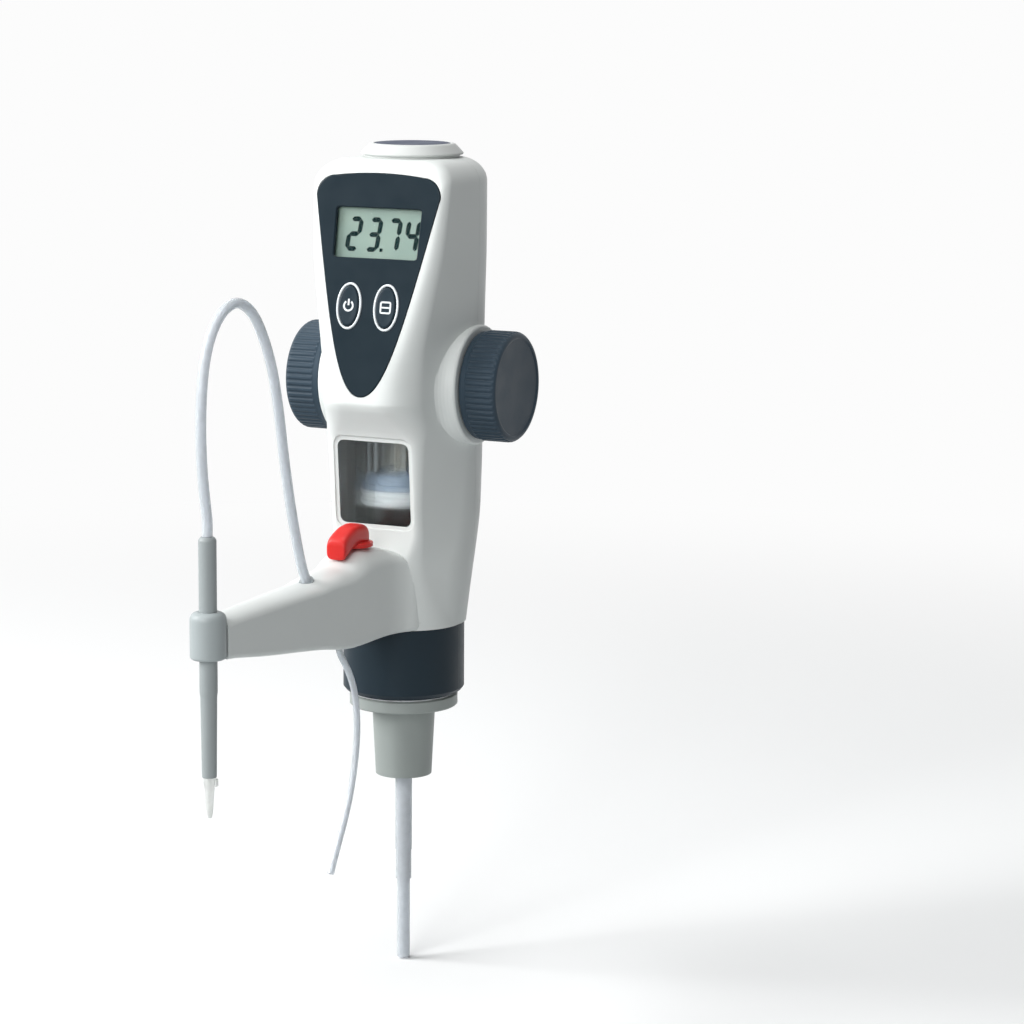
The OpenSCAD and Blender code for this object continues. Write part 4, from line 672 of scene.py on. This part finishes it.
front = head_solid("front_housing_skin")
combine(front, pods("pod", foot=True) + [arm_solid("arm", 12, ARM_REACH - 4)], "UNION")
combine(front, [block("front_half", (-150, -300, -100), (150, WHEEL_Y - SEAM, 400))], "INTERSECT")
hollow = head_solid("hollow", WALL, 2, False)
combine(hollow, boss_rods(-10, 0))
combine(front, [hollow] + pods("pod", WALL) + [arm_solid("arm_hollow", 11, ARM_REACH - 7.5, ARM_WALL, False)])
combine(front, [
    prism("recess", shield(-0.15), PANEL_FRONT - PANEL_T, 8.4, FACE), prism("through", shield(1.8), -9, 1, FACE),
    window_flare(), window_tool(WINDOW_W, WINDOW_H, 3.2, 1, 12),
    window_tool(WINDOW_W + 4.4, WINDOW_H + 4.4, 2, -PANE_DEPTH, 6), *shaft_and_cap(),
    rod("lever", 3.4, (0, -LEVER_REACH, SKIRT_Z + 10), (0, -LEVER_REACH, SKIRT_Z + 60)),
    rod("loop_exit", 3.0, (0, EXIT_Y + 4.36, EXIT_Z - 6.7), (0, EXIT_Y - 4.36, EXIT_Z + 6.7)),
    rod("loop_seat", 3.4, (0, EXIT_Y + 0.38, EXIT_Z - 0.59), (0, EXIT_Y - 3.98, EXIT_Z + 6.12)),
    rod("return_exit", 1.7, (0, HOSE_Y, 36), (0, HOSE_Y, 44)),
    rod("collar", COLLAR_R + SLIP, (0, -ARM_REACH, 0), (0, -ARM_REACH, 200)),
    block("tongue", (-4.3, -ARM_REACH, COLLAR_Z + 4.9), (4.3, -ARM_REACH + 20, COLLAR_Z + 13.5))]
    + boss_rods(-9, 11, 1.4))
dress(front, "body", "shell_grey", HOUSING, "front_housing", sharp=34)

rear = head_solid("rear_housing_skin")
combine(rear, pods("pod"), "UNION")
combine(rear, [block("rear_half", (-150, WHEEL_Y + SEAM, -100), (150, 300, 400))], "INTERSECT")
hollow = combine(head_solid("hollow", WALL, 2, False), boss_rods(0, 40, extra=0.8))
combine(rear, [hollow] + pods("pod", WALL) + boss_rods(-1, 19, 1.6) + boss_rods(SCREW_SEAT, 46, 3.1) + [
    *shaft_and_cap(),
    block("door", (-DOOR_W / 2 - SLIP, DOOR_CUT_Y, DOOR_LOW_Z - SLIP), (DOOR_W / 2 + SLIP, 60, DOOR_HIGH_Z + SLIP)),
    rod("groove", 0.8 + SLIP, (-3.8, HINGE_Y, DOOR_LOW_Z), (3.8, HINGE_Y, DOOR_LOW_Z))])
dress(rear, "body", "shell_grey", HOUSING, "rear_housing", sharp=34)

door = head_solid("battery_door_skin")
combine(door, [block("door", (-DOOR_W / 2, DOOR_CUT_Y, DOOR_LOW_Z), (DOOR_W / 2, 60, DOOR_HIGH_Z))], "INTERSECT")
grips = [DOOR_HIGH_Z - 12 + 2.4 * i for i in range(4)]
combine(door, [head_solid("hollow", WALL - 0.4, 2, False)]
        + [rod("grip", 0.7, (-6, WHEEL_Y + 34.6, z), (6, WHEEL_Y + 34.6, z)) for z in grips])
combine(door, [rod("barrel", 0.8, (-3.5, HINGE_Y, DOOR_LOW_Z), (3.5, HINGE_Y, DOOR_LOW_Z))], "UNION")
dress(door, "door", "shell_grey", HOUSING, "battery_door", sharp=34)

# ---- cap
CAP_R, CAP_H, LIP_R, INLAY_R = 23.4, 6.2, 13.8, 17.5
rim = fillet([(LIP_R, -1.2), (LIP_R, -5), (16, -5), (16, 0), (CAP_R - 1.8, 0), (CAP_R - 1.8, 1), (CAP_R - 0.6, 1.1),
              (CAP_R, 1.8), (CAP_R - 3.7, CAP_H - 0.5), (CAP_R - 4.7, CAP_H), (INLAY_R, CAP_H),
              (INLAY_R, CAP_H - 1), (LIP_R, CAP_H - 1)], [0.1, 0.1, 0.1, 0.1, 0.1, 0.3, 0.6, 0.9, 0.6, 0.2, 0.1])
under, over = [[0, CAP_H - 2], [LIP_R, CAP_H - 2]], [[LIP_R, CAP_H - 1], [0, CAP_H - 1]]
cap = turned("top_cap_skin", np.concatenate([under, rim[1:-1], over]), (0, WHEEL_Y, HEAD_TOP_Z), "Z", 128)
dress(cap, "body", "cap_white", CAP, "top_cap", sharp=40)
inlay = turned("cap_inlay_skin", fillet([(0, 0), (17.3, 0), (17.3, 0.8), (16.4, 1.15), (0, 1.35)], [0.1, 0.3, 0.8]),
               (0, WHEEL_Y, HEAD_TOP_Z + CAP_H - 1), "Z", 128)
dress(inlay, "body", "inlay_slate", INLAY, "cap_inlay", sharp=40)

# ---- panel
# The film's edge: inward step and level of each row
ease = [(0.25, -1.6), (0.0, -1.35), (0.0, -0.05), (0.1, 0.22), (0.28, 0.36), (0.5, 0.4)]
panel = plate("display_panel_film", [shield(t) for t, _ in ease], [w for _, w in ease], FACE)
BUTTON_W, BUTTON_H = 9.6, 18.2


def lcd_outline(grow):
    """The display opening, a touch wider at the top than at the foot."""
    outline = round_box(LCD_W + grow, LCD_H + grow, 1.5 + grow / 2)
    return outline * np.stack([0.98 + 0.01 * outline[:, 1] / (LCD_H / 2), np.ones(len(outline))], -1) + [1.2, LCD_UP]


def key_outline(x, wider, taller, n=72):
    """The outline of the key at x, made that much wider and taller."""
    return oval(BUTTON_W + wider, BUTTON_H + taller, (x, BUTTON_UP), n)


opening = plate("lcd", [lcd_outline(grow) for grow in (0, 0, 0.7, 1.6)], [-3, 0.05, 0.3, 0.9], FACE)
combine(panel, [opening]
        + [prism("key", key_outline(s * BUTTON_X, 0.6, 0.6), -3, 3, FACE) for s in (-1, 1)]
        + [prism("ring", key_outline(s * BUTTON_X, 3.1, 3.1), PANEL_FRONT - 0.8, 3, FACE) for s in (-1, 1)])
dress(panel, "body", "panel_navy", FILM, "display_panel", sharp=30)


def light_ring(name, x):
    """An oval ring with a rounded top, carried round the key's outline."""
    grow = (3.0, 3.0, 2.8, 2.3, 1.5, 0.95, 0.7, 0.7)
    levels = (-0.4, 0.4, 0.75, 0.95, 0.95, 0.75, 0.4, -0.4)
    return to_object(name, *closed_grid(stacked([key_outline(x, g, g, 96) for g in grow], levels, FACE), True))


def join(parts):
    """One mesh out of several, in the first one's object."""
    first = parts[0]
    with bpy.context.temp_override(active_object=first, selected_editable_objects=parts, selected_objects=parts):
        bpy.ops.object.join()
    return first


rings = join([light_ring("key_light_rings", -BUTTON_X), light_ring("key_light_ring", BUTTON_X)])
dress(rings, "body", "light_ring", RING, "button_rings", sharp=50, weighted=False)


def key(name, x, body, node):
    """An oval key: its top is a shallow dish inside a rounded rim, over a flange that stays behind the panel."""
    path = [(2.0, 1.6, -3.6), (2.0, 1.6, -1.8), (0, 0, -1.8), (0, 0, 0.55), (-0.3, -0.3, 0.95), (-1.0, -1.0, 1.18),
            (-1.9, -2.2, 1.2), (-4.2, -6.5, 1.02), (-7.0, -12.5, 0.95)]
    obj = plate(name, [key_outline(x, wider, taller) for wider, taller, _ in path], [z for *_, z in path], FACE)
    dress(obj, body, "button_navy", KEYS, node, sharp=50)


key("power_key_cap", -BUTTON_X, "power_key", "power_button")
key("clear_key_cap", BUTTON_X, "clear_key", "clear_button")


def stroke(points, width):
    """Outline of a thin line along an open path, square at its ends."""
    points = np.asarray(points, float)
    ahead = unit(np.gradient(points, axis=0))
    side = np.stack([-ahead[:, 1], ahead[:, 0]], -1) * width / 2
    return np.concatenate([points - side, (points + side)[::-1]])


def printed(name, outlines, low, high):
    """Ink on the leaning face: thin raised outlines, as one mesh."""
    return join([prism(name, o, low, high, FACE) for o in outlines])


ICON_LOW, ICON_HIGH = 0.9, 1.06
power_arc = arc(-BUTTON_X, BUTTON_UP, np.radians(np.linspace(125, 415, 40)), 2.2)
bar = [[-BUTTON_X, BUTTON_UP + 0.2], [-BUTTON_X, BUTTON_UP + 3.1]]
power = printed("power_icon", [stroke(power_arc, 0.85), stroke(bar, 0.85)], ICON_LOW, ICON_HIGH)
dress(power, "power_key", "light_ring", PRINT, sharp=30, weighted=False)
frame_line = round_box(4.8, 4.8, 0.7, (BUTTON_X, BUTTON_UP))
bars = [stroke(np.concatenate([frame_line, frame_line[:2]]), 0.8),
        stroke([[BUTTON_X - 2.2, BUTTON_UP], [BUTTON_X + 2.2, BUTTON_UP]], 0.7)]
clear_icon = printed("clear_icon", bars, ICON_LOW, ICON_HIGH)
dress(clear_icon, "clear_key", "light_ring", PRINT, sharp=30, weighted=False)

# ---- display
CELL_FRONT = -2.82
lcd = plate("lcd_cell", [round_box(46 - 2 * c, 26 - 2 * c, 0.8 - c / 2, (0, LCD_UP)) for c in (0, 0, 0.2)],
            [-5.8, -3.0, CELL_FRONT], FACE)
dress(lcd, "body", "lcd_grey_green", LCD, "lcd_module", sharp=30)
SEGMENTS = {"2": "abged", "3": "abgcd", "7": "abc", "4": "fgbc"}


def segment(kind, x, y, w=5.0, h=13.4, t=2.25, slant=0.1):
    """One bar of a seven-segment digit: a hexagon between two corners of the figure eight, leaning right."""
    left, right, low, mid, high = 0, w, 0, h / 2, h
    ends = {"a": ((left, high), (right, high)), "b": ((right, mid), (right, high)),
            "c": ((right, low), (right, mid)), "d": ((left, low), (right, low)), "e": ((left, low), (left, mid)),
            "f": ((left, mid), (left, high)), "g": ((left, mid), (right, mid))}[kind]
    a, b = np.array(ends, float)
    ahead = unit(b - a)
    side = np.array([-ahead[1], ahead[0]]) * t / 2
    a, b = a + ahead * 0.05, b - ahead * 0.05
    points = np.array([a, a + ahead * t / 2 - side, b - ahead * t / 2 - side, b, b - ahead * t / 2 + side,
                       a + ahead * t / 2 + side])
    return np.stack([points[:, 0] + slant * points[:, 1] + x, points[:, 1] + y], -1)


digits = []
for figure, x in zip("2374", (-14.8, -4.9, 4.9, 14.2)):
    digits += [segment(kind, x, LCD_UP - 7.1) for kind in SEGMENTS[figure]]
digits.append(round_box(1.6, 1.6, 0.3, (2.5, LCD_UP - 7.2)))
shown = printed("lcd_digits", digits, CELL_FRONT, CELL_FRONT + 0.01)
dress(shown, "body", "lcd_grey_green", DIGITS, sharp=30, weighted=False)


# ---- handwheels
def handwheel(name, sign):
    """A cup with a ribbed rim: the radius of its profile drops by a rounded groove RIDGES times a turn, along the
    grip band only; the mouth faces the housing."""
    path = fillet([(0, WHEEL_T - 2.6), (WHEEL_R - 3.4, WHEEL_T - 2.6), (WHEEL_R - 3.4, 0.2), (WHEEL_R - 1.5, 0),
                   (WHEEL_R - 0.5, 0.9), (WHEEL_R - 0.5, 3.2), (WHEEL_R, 4.0), (WHEEL_R, WHEEL_T - 1.6),
                   (WHEEL_R - 1.5, WHEEL_T), (WHEEL_R - 3.0, WHEEL_T), (WHEEL_R - 3.4, WHEEL_T - 0.6),
                   (0, WHEEL_T - 0.6)], [0.6, 0.6, 0.5, 0.5, 0.3, 0.3, 1.0, 0.9, 0.4, 0.4], 4)
    angle = full_turn(RIDGES * 12)
    wave = 0.5 + 0.5 * np.cos(angle * RIDGES)
    groove = 0.62 * np.clip(1.6 * wave - 0.5, 0, 1)
    radius, height = path[:, :1], path[:, 1:]
    band = np.clip((height - 3.6) / 0.6, 0, 1) * np.clip((WHEEL_T - 0.8 - height) / 0.8, 0, 1)
    radius = radius - groove * band * (radius > WHEEL_R - 2.2)
    rings = np.stack([radius * np.cos(angle), radius * np.sin(angle), height + 0 * angle], -1)
    points, faces = closed_grid(rings, False)
    if sign < 0:
        points, faces = points * [1, 1, -1], [f[::-1] for f in faces]
    return to_object(name, points @ AXES["X"] + [sign * WHEEL_X, WHEEL_Y, WHEEL_Z], faces)


for side, sign in (("right", 1), ("left", -1)):
    dress(handwheel(side + "_handwheel_skin", sign), "drive", "wheel_slate", WHEEL, side + "_handwheel", sharp=50,
          weighted=False)


# ---- lever
# Distance along the lever from its axis, half width, underside, top
LEVER_SHAPE = np.array([
    [-18.7, 3.8, -1.6, 2.6], [-18.5, 4.4, -2.9, 4.2], [-18, 4.7, -3.6, 5.2], [-16.8, 4.9, -3.3, 6.4],
    [-14, 5, -1.7, 7.8], [-11, 5, -0.2, 8.9], [-8, 5, 0.6, 9.8], [-5, 5, 0.7, 10.2], [-2, 5, 0.4, 10.4],
    [1.6, 4.9, 0.3, 9.9], [4.2, 4.6, 0.3, 8.6], [5.8, 4, 0.4, 6.2], [6.5, 3.1, 0.7, 4], [6.6, 2.6, 1.2, 3]])


def lever_handle():
    """The lever's handle: sections across the arm are superellipses whose half width, underside and top follow a
    smooth curve along it."""
    y = np.concatenate([[-18.7, -18.62, -18.5], np.linspace(-18.3, 6.2, 60), [6.4, 6.55, 6.6]])
    w, low, top = (smooth(LEVER_SHAPE, y, c)[:, None] for c in (1, 2, 3))
    p = full_turn(48)[None]
    x = w * signed_power(np.cos(p), 0.5)
    z = (low + top) / 2 + (top - low) / 2 * signed_power(np.sin(p), 0.55)
    rings = np.stack([x, y[:, None] - LEVER_REACH + 0 * x, z + BULB_TOP_Z + SLIP], -1)
    return loft("valve_lever_skin", rings, flip=True)


handle = lever_handle()
combine(handle, [turned("seat", fillet([(0, 0), (8, 0), (8, 2.2), (0, 2.2)], [0.3, 0.7]),
                        (0, -LEVER_REACH, BULB_TOP_Z + SLIP), "Z", 64)], "UNION")
dress(handle, "lever", "lever_red", LEVER, "valve_lever", sharp=45)

# ---- clamp, sleeve and nozzle
CLAMP_BORE, HOSE_BORE = TUBE_R + 0.05, HOSE_R + 0.02
clamp = turned("arm_clamp_skin", fillet(
    [(CLAMP_BORE, 0), (COLLAR_R - 0.8, 0), (COLLAR_R, 0.8), (COLLAR_R, COLLAR_H - 2.4),
     (COLLAR_R - 0.9, COLLAR_H - 0.8), (COLLAR_R - 2.6, COLLAR_H), (CLAMP_BORE, COLLAR_H), (CLAMP_BORE, 0.01)],
    [0.4, 0.5, 1.2, 0.8, 0.8, 0.3]), (0, -ARM_REACH, COLLAR_Z), "Z", 96, closed=True)
tongue = block("tongue", (-4, -ARM_REACH + 6, COLLAR_Z + 5.2), (4, -ARM_REACH + 14, COLLAR_Z + 13.2))
combine(clamp, [tongue], "UNION")
dress(clamp, "body", "clamp_grey", CLAMP, "arm_clamp", sharp=40)
sleeve = turned("titration_sleeve", fillet(
    [(HOSE_BORE, 0), (TUBE_TIP_R, 0), (TUBE_TIP_R + 0.05, 1), (TUBE_R - 0.25, COLLAR_Z - 16 - TUBE_Z),
     (TUBE_R, COLLAR_Z - 14 - TUBE_Z), (TUBE_R, TUBE_LEN - 1.2), (TUBE_R - 1, TUBE_LEN), (HOSE_BORE, TUBE_LEN),
     (HOSE_BORE, 0.01)], [0.3, 0.3, 0.8, 0.8, 0.6, 0.6, 0.2]), (0, -ARM_REACH, TUBE_Z), "Z", 64, closed=True)
dress(sleeve, "spout", "sleeve_grey", SLEEVE, "titration_tube", sharp=40)
tip = turned("nozzle_skin", fillet(
    [(0.6, -NOZZLE_LEN), (0.95, -NOZZLE_LEN), (1.6, -NOZZLE_LEN + 4), (TUBE_TIP_R - 1, -4.5),
     (TUBE_TIP_R - 0.4, -2.5), (TUBE_TIP_R - 0.4, 0), (0.6, 0), (0.6, -NOZZLE_LEN + 0.01)],
    [0.2, 1.5, 1.2, 0.8, 0.3, 0.2]), (0, -ARM_REACH, TUBE_Z), "Z", 48, closed=True)
ear = block("ear", (1.6, -ARM_REACH - 0.8, TUBE_Z - 3.6), (3.8, -ARM_REACH + 0.8, TUBE_Z - 0.4))
combine(tip, [ear], "UNION")
dress(tip, "spout", "tube_white", NOZZLE, "nozzle", sharp=40)

# ---- finishes of the carried-over nodes
FINISHES = {
    BLOCK: ["valve_block"], ADAPTER: ["bottle_adapter"], HOUSING: ["front_housing", "rear_housing", "battery_door"],
    PTFE: ["adapter_seal", "inlet_seat", "inlet_ball", "piston_seal", "valve_body", "valve_plug"],
    TUBING: ["filling_tube", "filling_tube_slide", "inlet_duct", "outlet_duct", "return_duct", "tube_liner"],
    STEEL: ["case_screws", "guide_rods", "layshaft", "wheel_shaft", "key_switches"],
    CAP: ["top_cap"], INLAY: ["cap_inlay"], FILM: ["display_panel"], LENS: ["display_lens"], LCD: ["lcd_module"],
    RING: ["button_rings"], KEYS: ["power_button", "clear_button"], BOARD: ["circuit_board"], PANE: ["window_pane"],
    CHASSIS: ["battery_holder", "cylinder_ring", "chassis"], CELL: ["battery_cells"], NICKEL: ["cell_contacts"],
    GLASS: ["glass_cylinder"], ELASTOMER: ["cylinder_seal"], CARRIER: ["piston_carrier"],
    ACETAL: ["piston_rack", "layshaft_gear", "output_gear"], BRONZE: ["shaft_bushes", "drive_pinion"],
    BLACK: ["encoder_disc", "encoder_sensor"], WHEEL: ["left_handwheel", "right_handwheel"], LEVER: ["valve_lever"],
    CLAMP: ["arm_clamp"], SLEEVE: ["titration_tube", "tube_grommet"], NOZZLE: ["nozzle"]}
for finish, names in FINISHES.items():
    for name in names:
        for socket in NODES[name].material_slots:
            socket.material = finish

# ---- floor, light and world
FLOOR_Z, FLOOR_HALF, FADE_NEAR, FADE_FAR = -123.0, 6000.0, 350.0, 1300.0
BACKDROP = srgb("#fcfcfc")


def plainly_seen(tree):
    """1 for the camera's rays and for those from gloss and through glass, which show the backdrop too; else 0."""
    path = add(tree, "LightPath")
    sharp = add(tree, "Math", {0: path.outputs["Is Glossy Ray"], 1: path.outputs["Is Transmission Ray"]},
                operation="MAXIMUM")
    return add(tree, "Math", {0: path.outputs["Is Camera Ray"], 1: sharp.outputs[0]}, operation="MAXIMUM").outputs[0]


def floor_paint():
    """Pale studio floor: matt white near the object, fading into the white backdrop farther out; it throws back less
    light than it shows, so that the sides turned from the key stay in shade."""
    material, tree, mm = new_material("studio_floor_matt")
    reach = add(tree, "VectorMath", {0: mm}, operation="LENGTH")
    fade = add(tree, "MapRange", {"Value": reach.outputs["Value"], 1: FADE_NEAR, 2: FADE_FAR, 3: 0.0, 4: 1.0},
               interpolation_type="SMOOTHSTEP")
    seen = plainly_seen(tree)
    direct = add(tree, "Math", {0: seen, 1: fade.outputs[0]}, operation="MULTIPLY")
    tone = add(tree, "Mix", {0: seen, 6: srgb("#bdc0c1"), 7: srgb("#f7f8f8")}, data_type="RGBA")
    paint = add(tree, "BsdfDiffuse", {"Color": tone.outputs[2], "Roughness": 0.5})
    glow = add(tree, "Emission", {"Color": BACKDROP, "Strength": 1.0})
    mixed = add(tree, "MixShader", {0: direct.outputs[0], 1: paint.outputs[0], 2: glow.outputs[0]})
    add(tree, "OutputMaterial", {"Surface": mixed.outputs[0]})
    return material


corners = [[x * FLOOR_HALF, y * FLOOR_HALF, FLOOR_Z] for x, y in ((-1, -1), (1, -1), (1, 1), (-1, 1))]
floor = to_object("floor", corners, [[0, 1, 2, 3]])
floor.data.materials.append(floor_paint())


def lamp(name, power, size, place, aim=(0, -40, 110)):
    """A soft box: a square area lamp that faces its aim."""
    data = bpy.data.lights.new(name, "AREA")
    data.energy, data.size = power, size
    obj = bpy.data.objects.new(name, data)
    bpy.context.collection.objects.link(obj)
    place, aim = np.asarray(place, float) / 1000, np.asarray(aim, float) / 1000
    back = unit(place - aim)
    right = unit(np.cross([0, 0, 1.0], back))
    obj.matrix_world = placed(right, np.cross(back, right), back, place)


lamp("key_box", 50.0, 1.3, (-1600, -900, 1150))
lamp("fill_box", 17.0, 1.0, (0, -1800, 700))
lamp("top_box", 8.5, 1.0, (-50, -100, 1500))

world = bpy.data.worlds.new("white_backdrop")
bpy.context.scene.world = world
world.use_nodes = True
tree = world.node_tree
tree.nodes.clear()
ambient = add(tree, "Background", {"Color": srgb("#f4f6f8"), "Strength": 0.14})
backdrop = add(tree, "Background", {"Color": BACKDROP, "Strength": 1.0})
sky = add(tree, "MixShader", {0: plainly_seen(tree), 1: ambient.outputs[0], 2: backdrop.outputs[0]})
add(tree, "OutputWorld", {"Surface": sky.outputs[0]})
bpy.context.scene.view_settings.view_transform = "Standard"
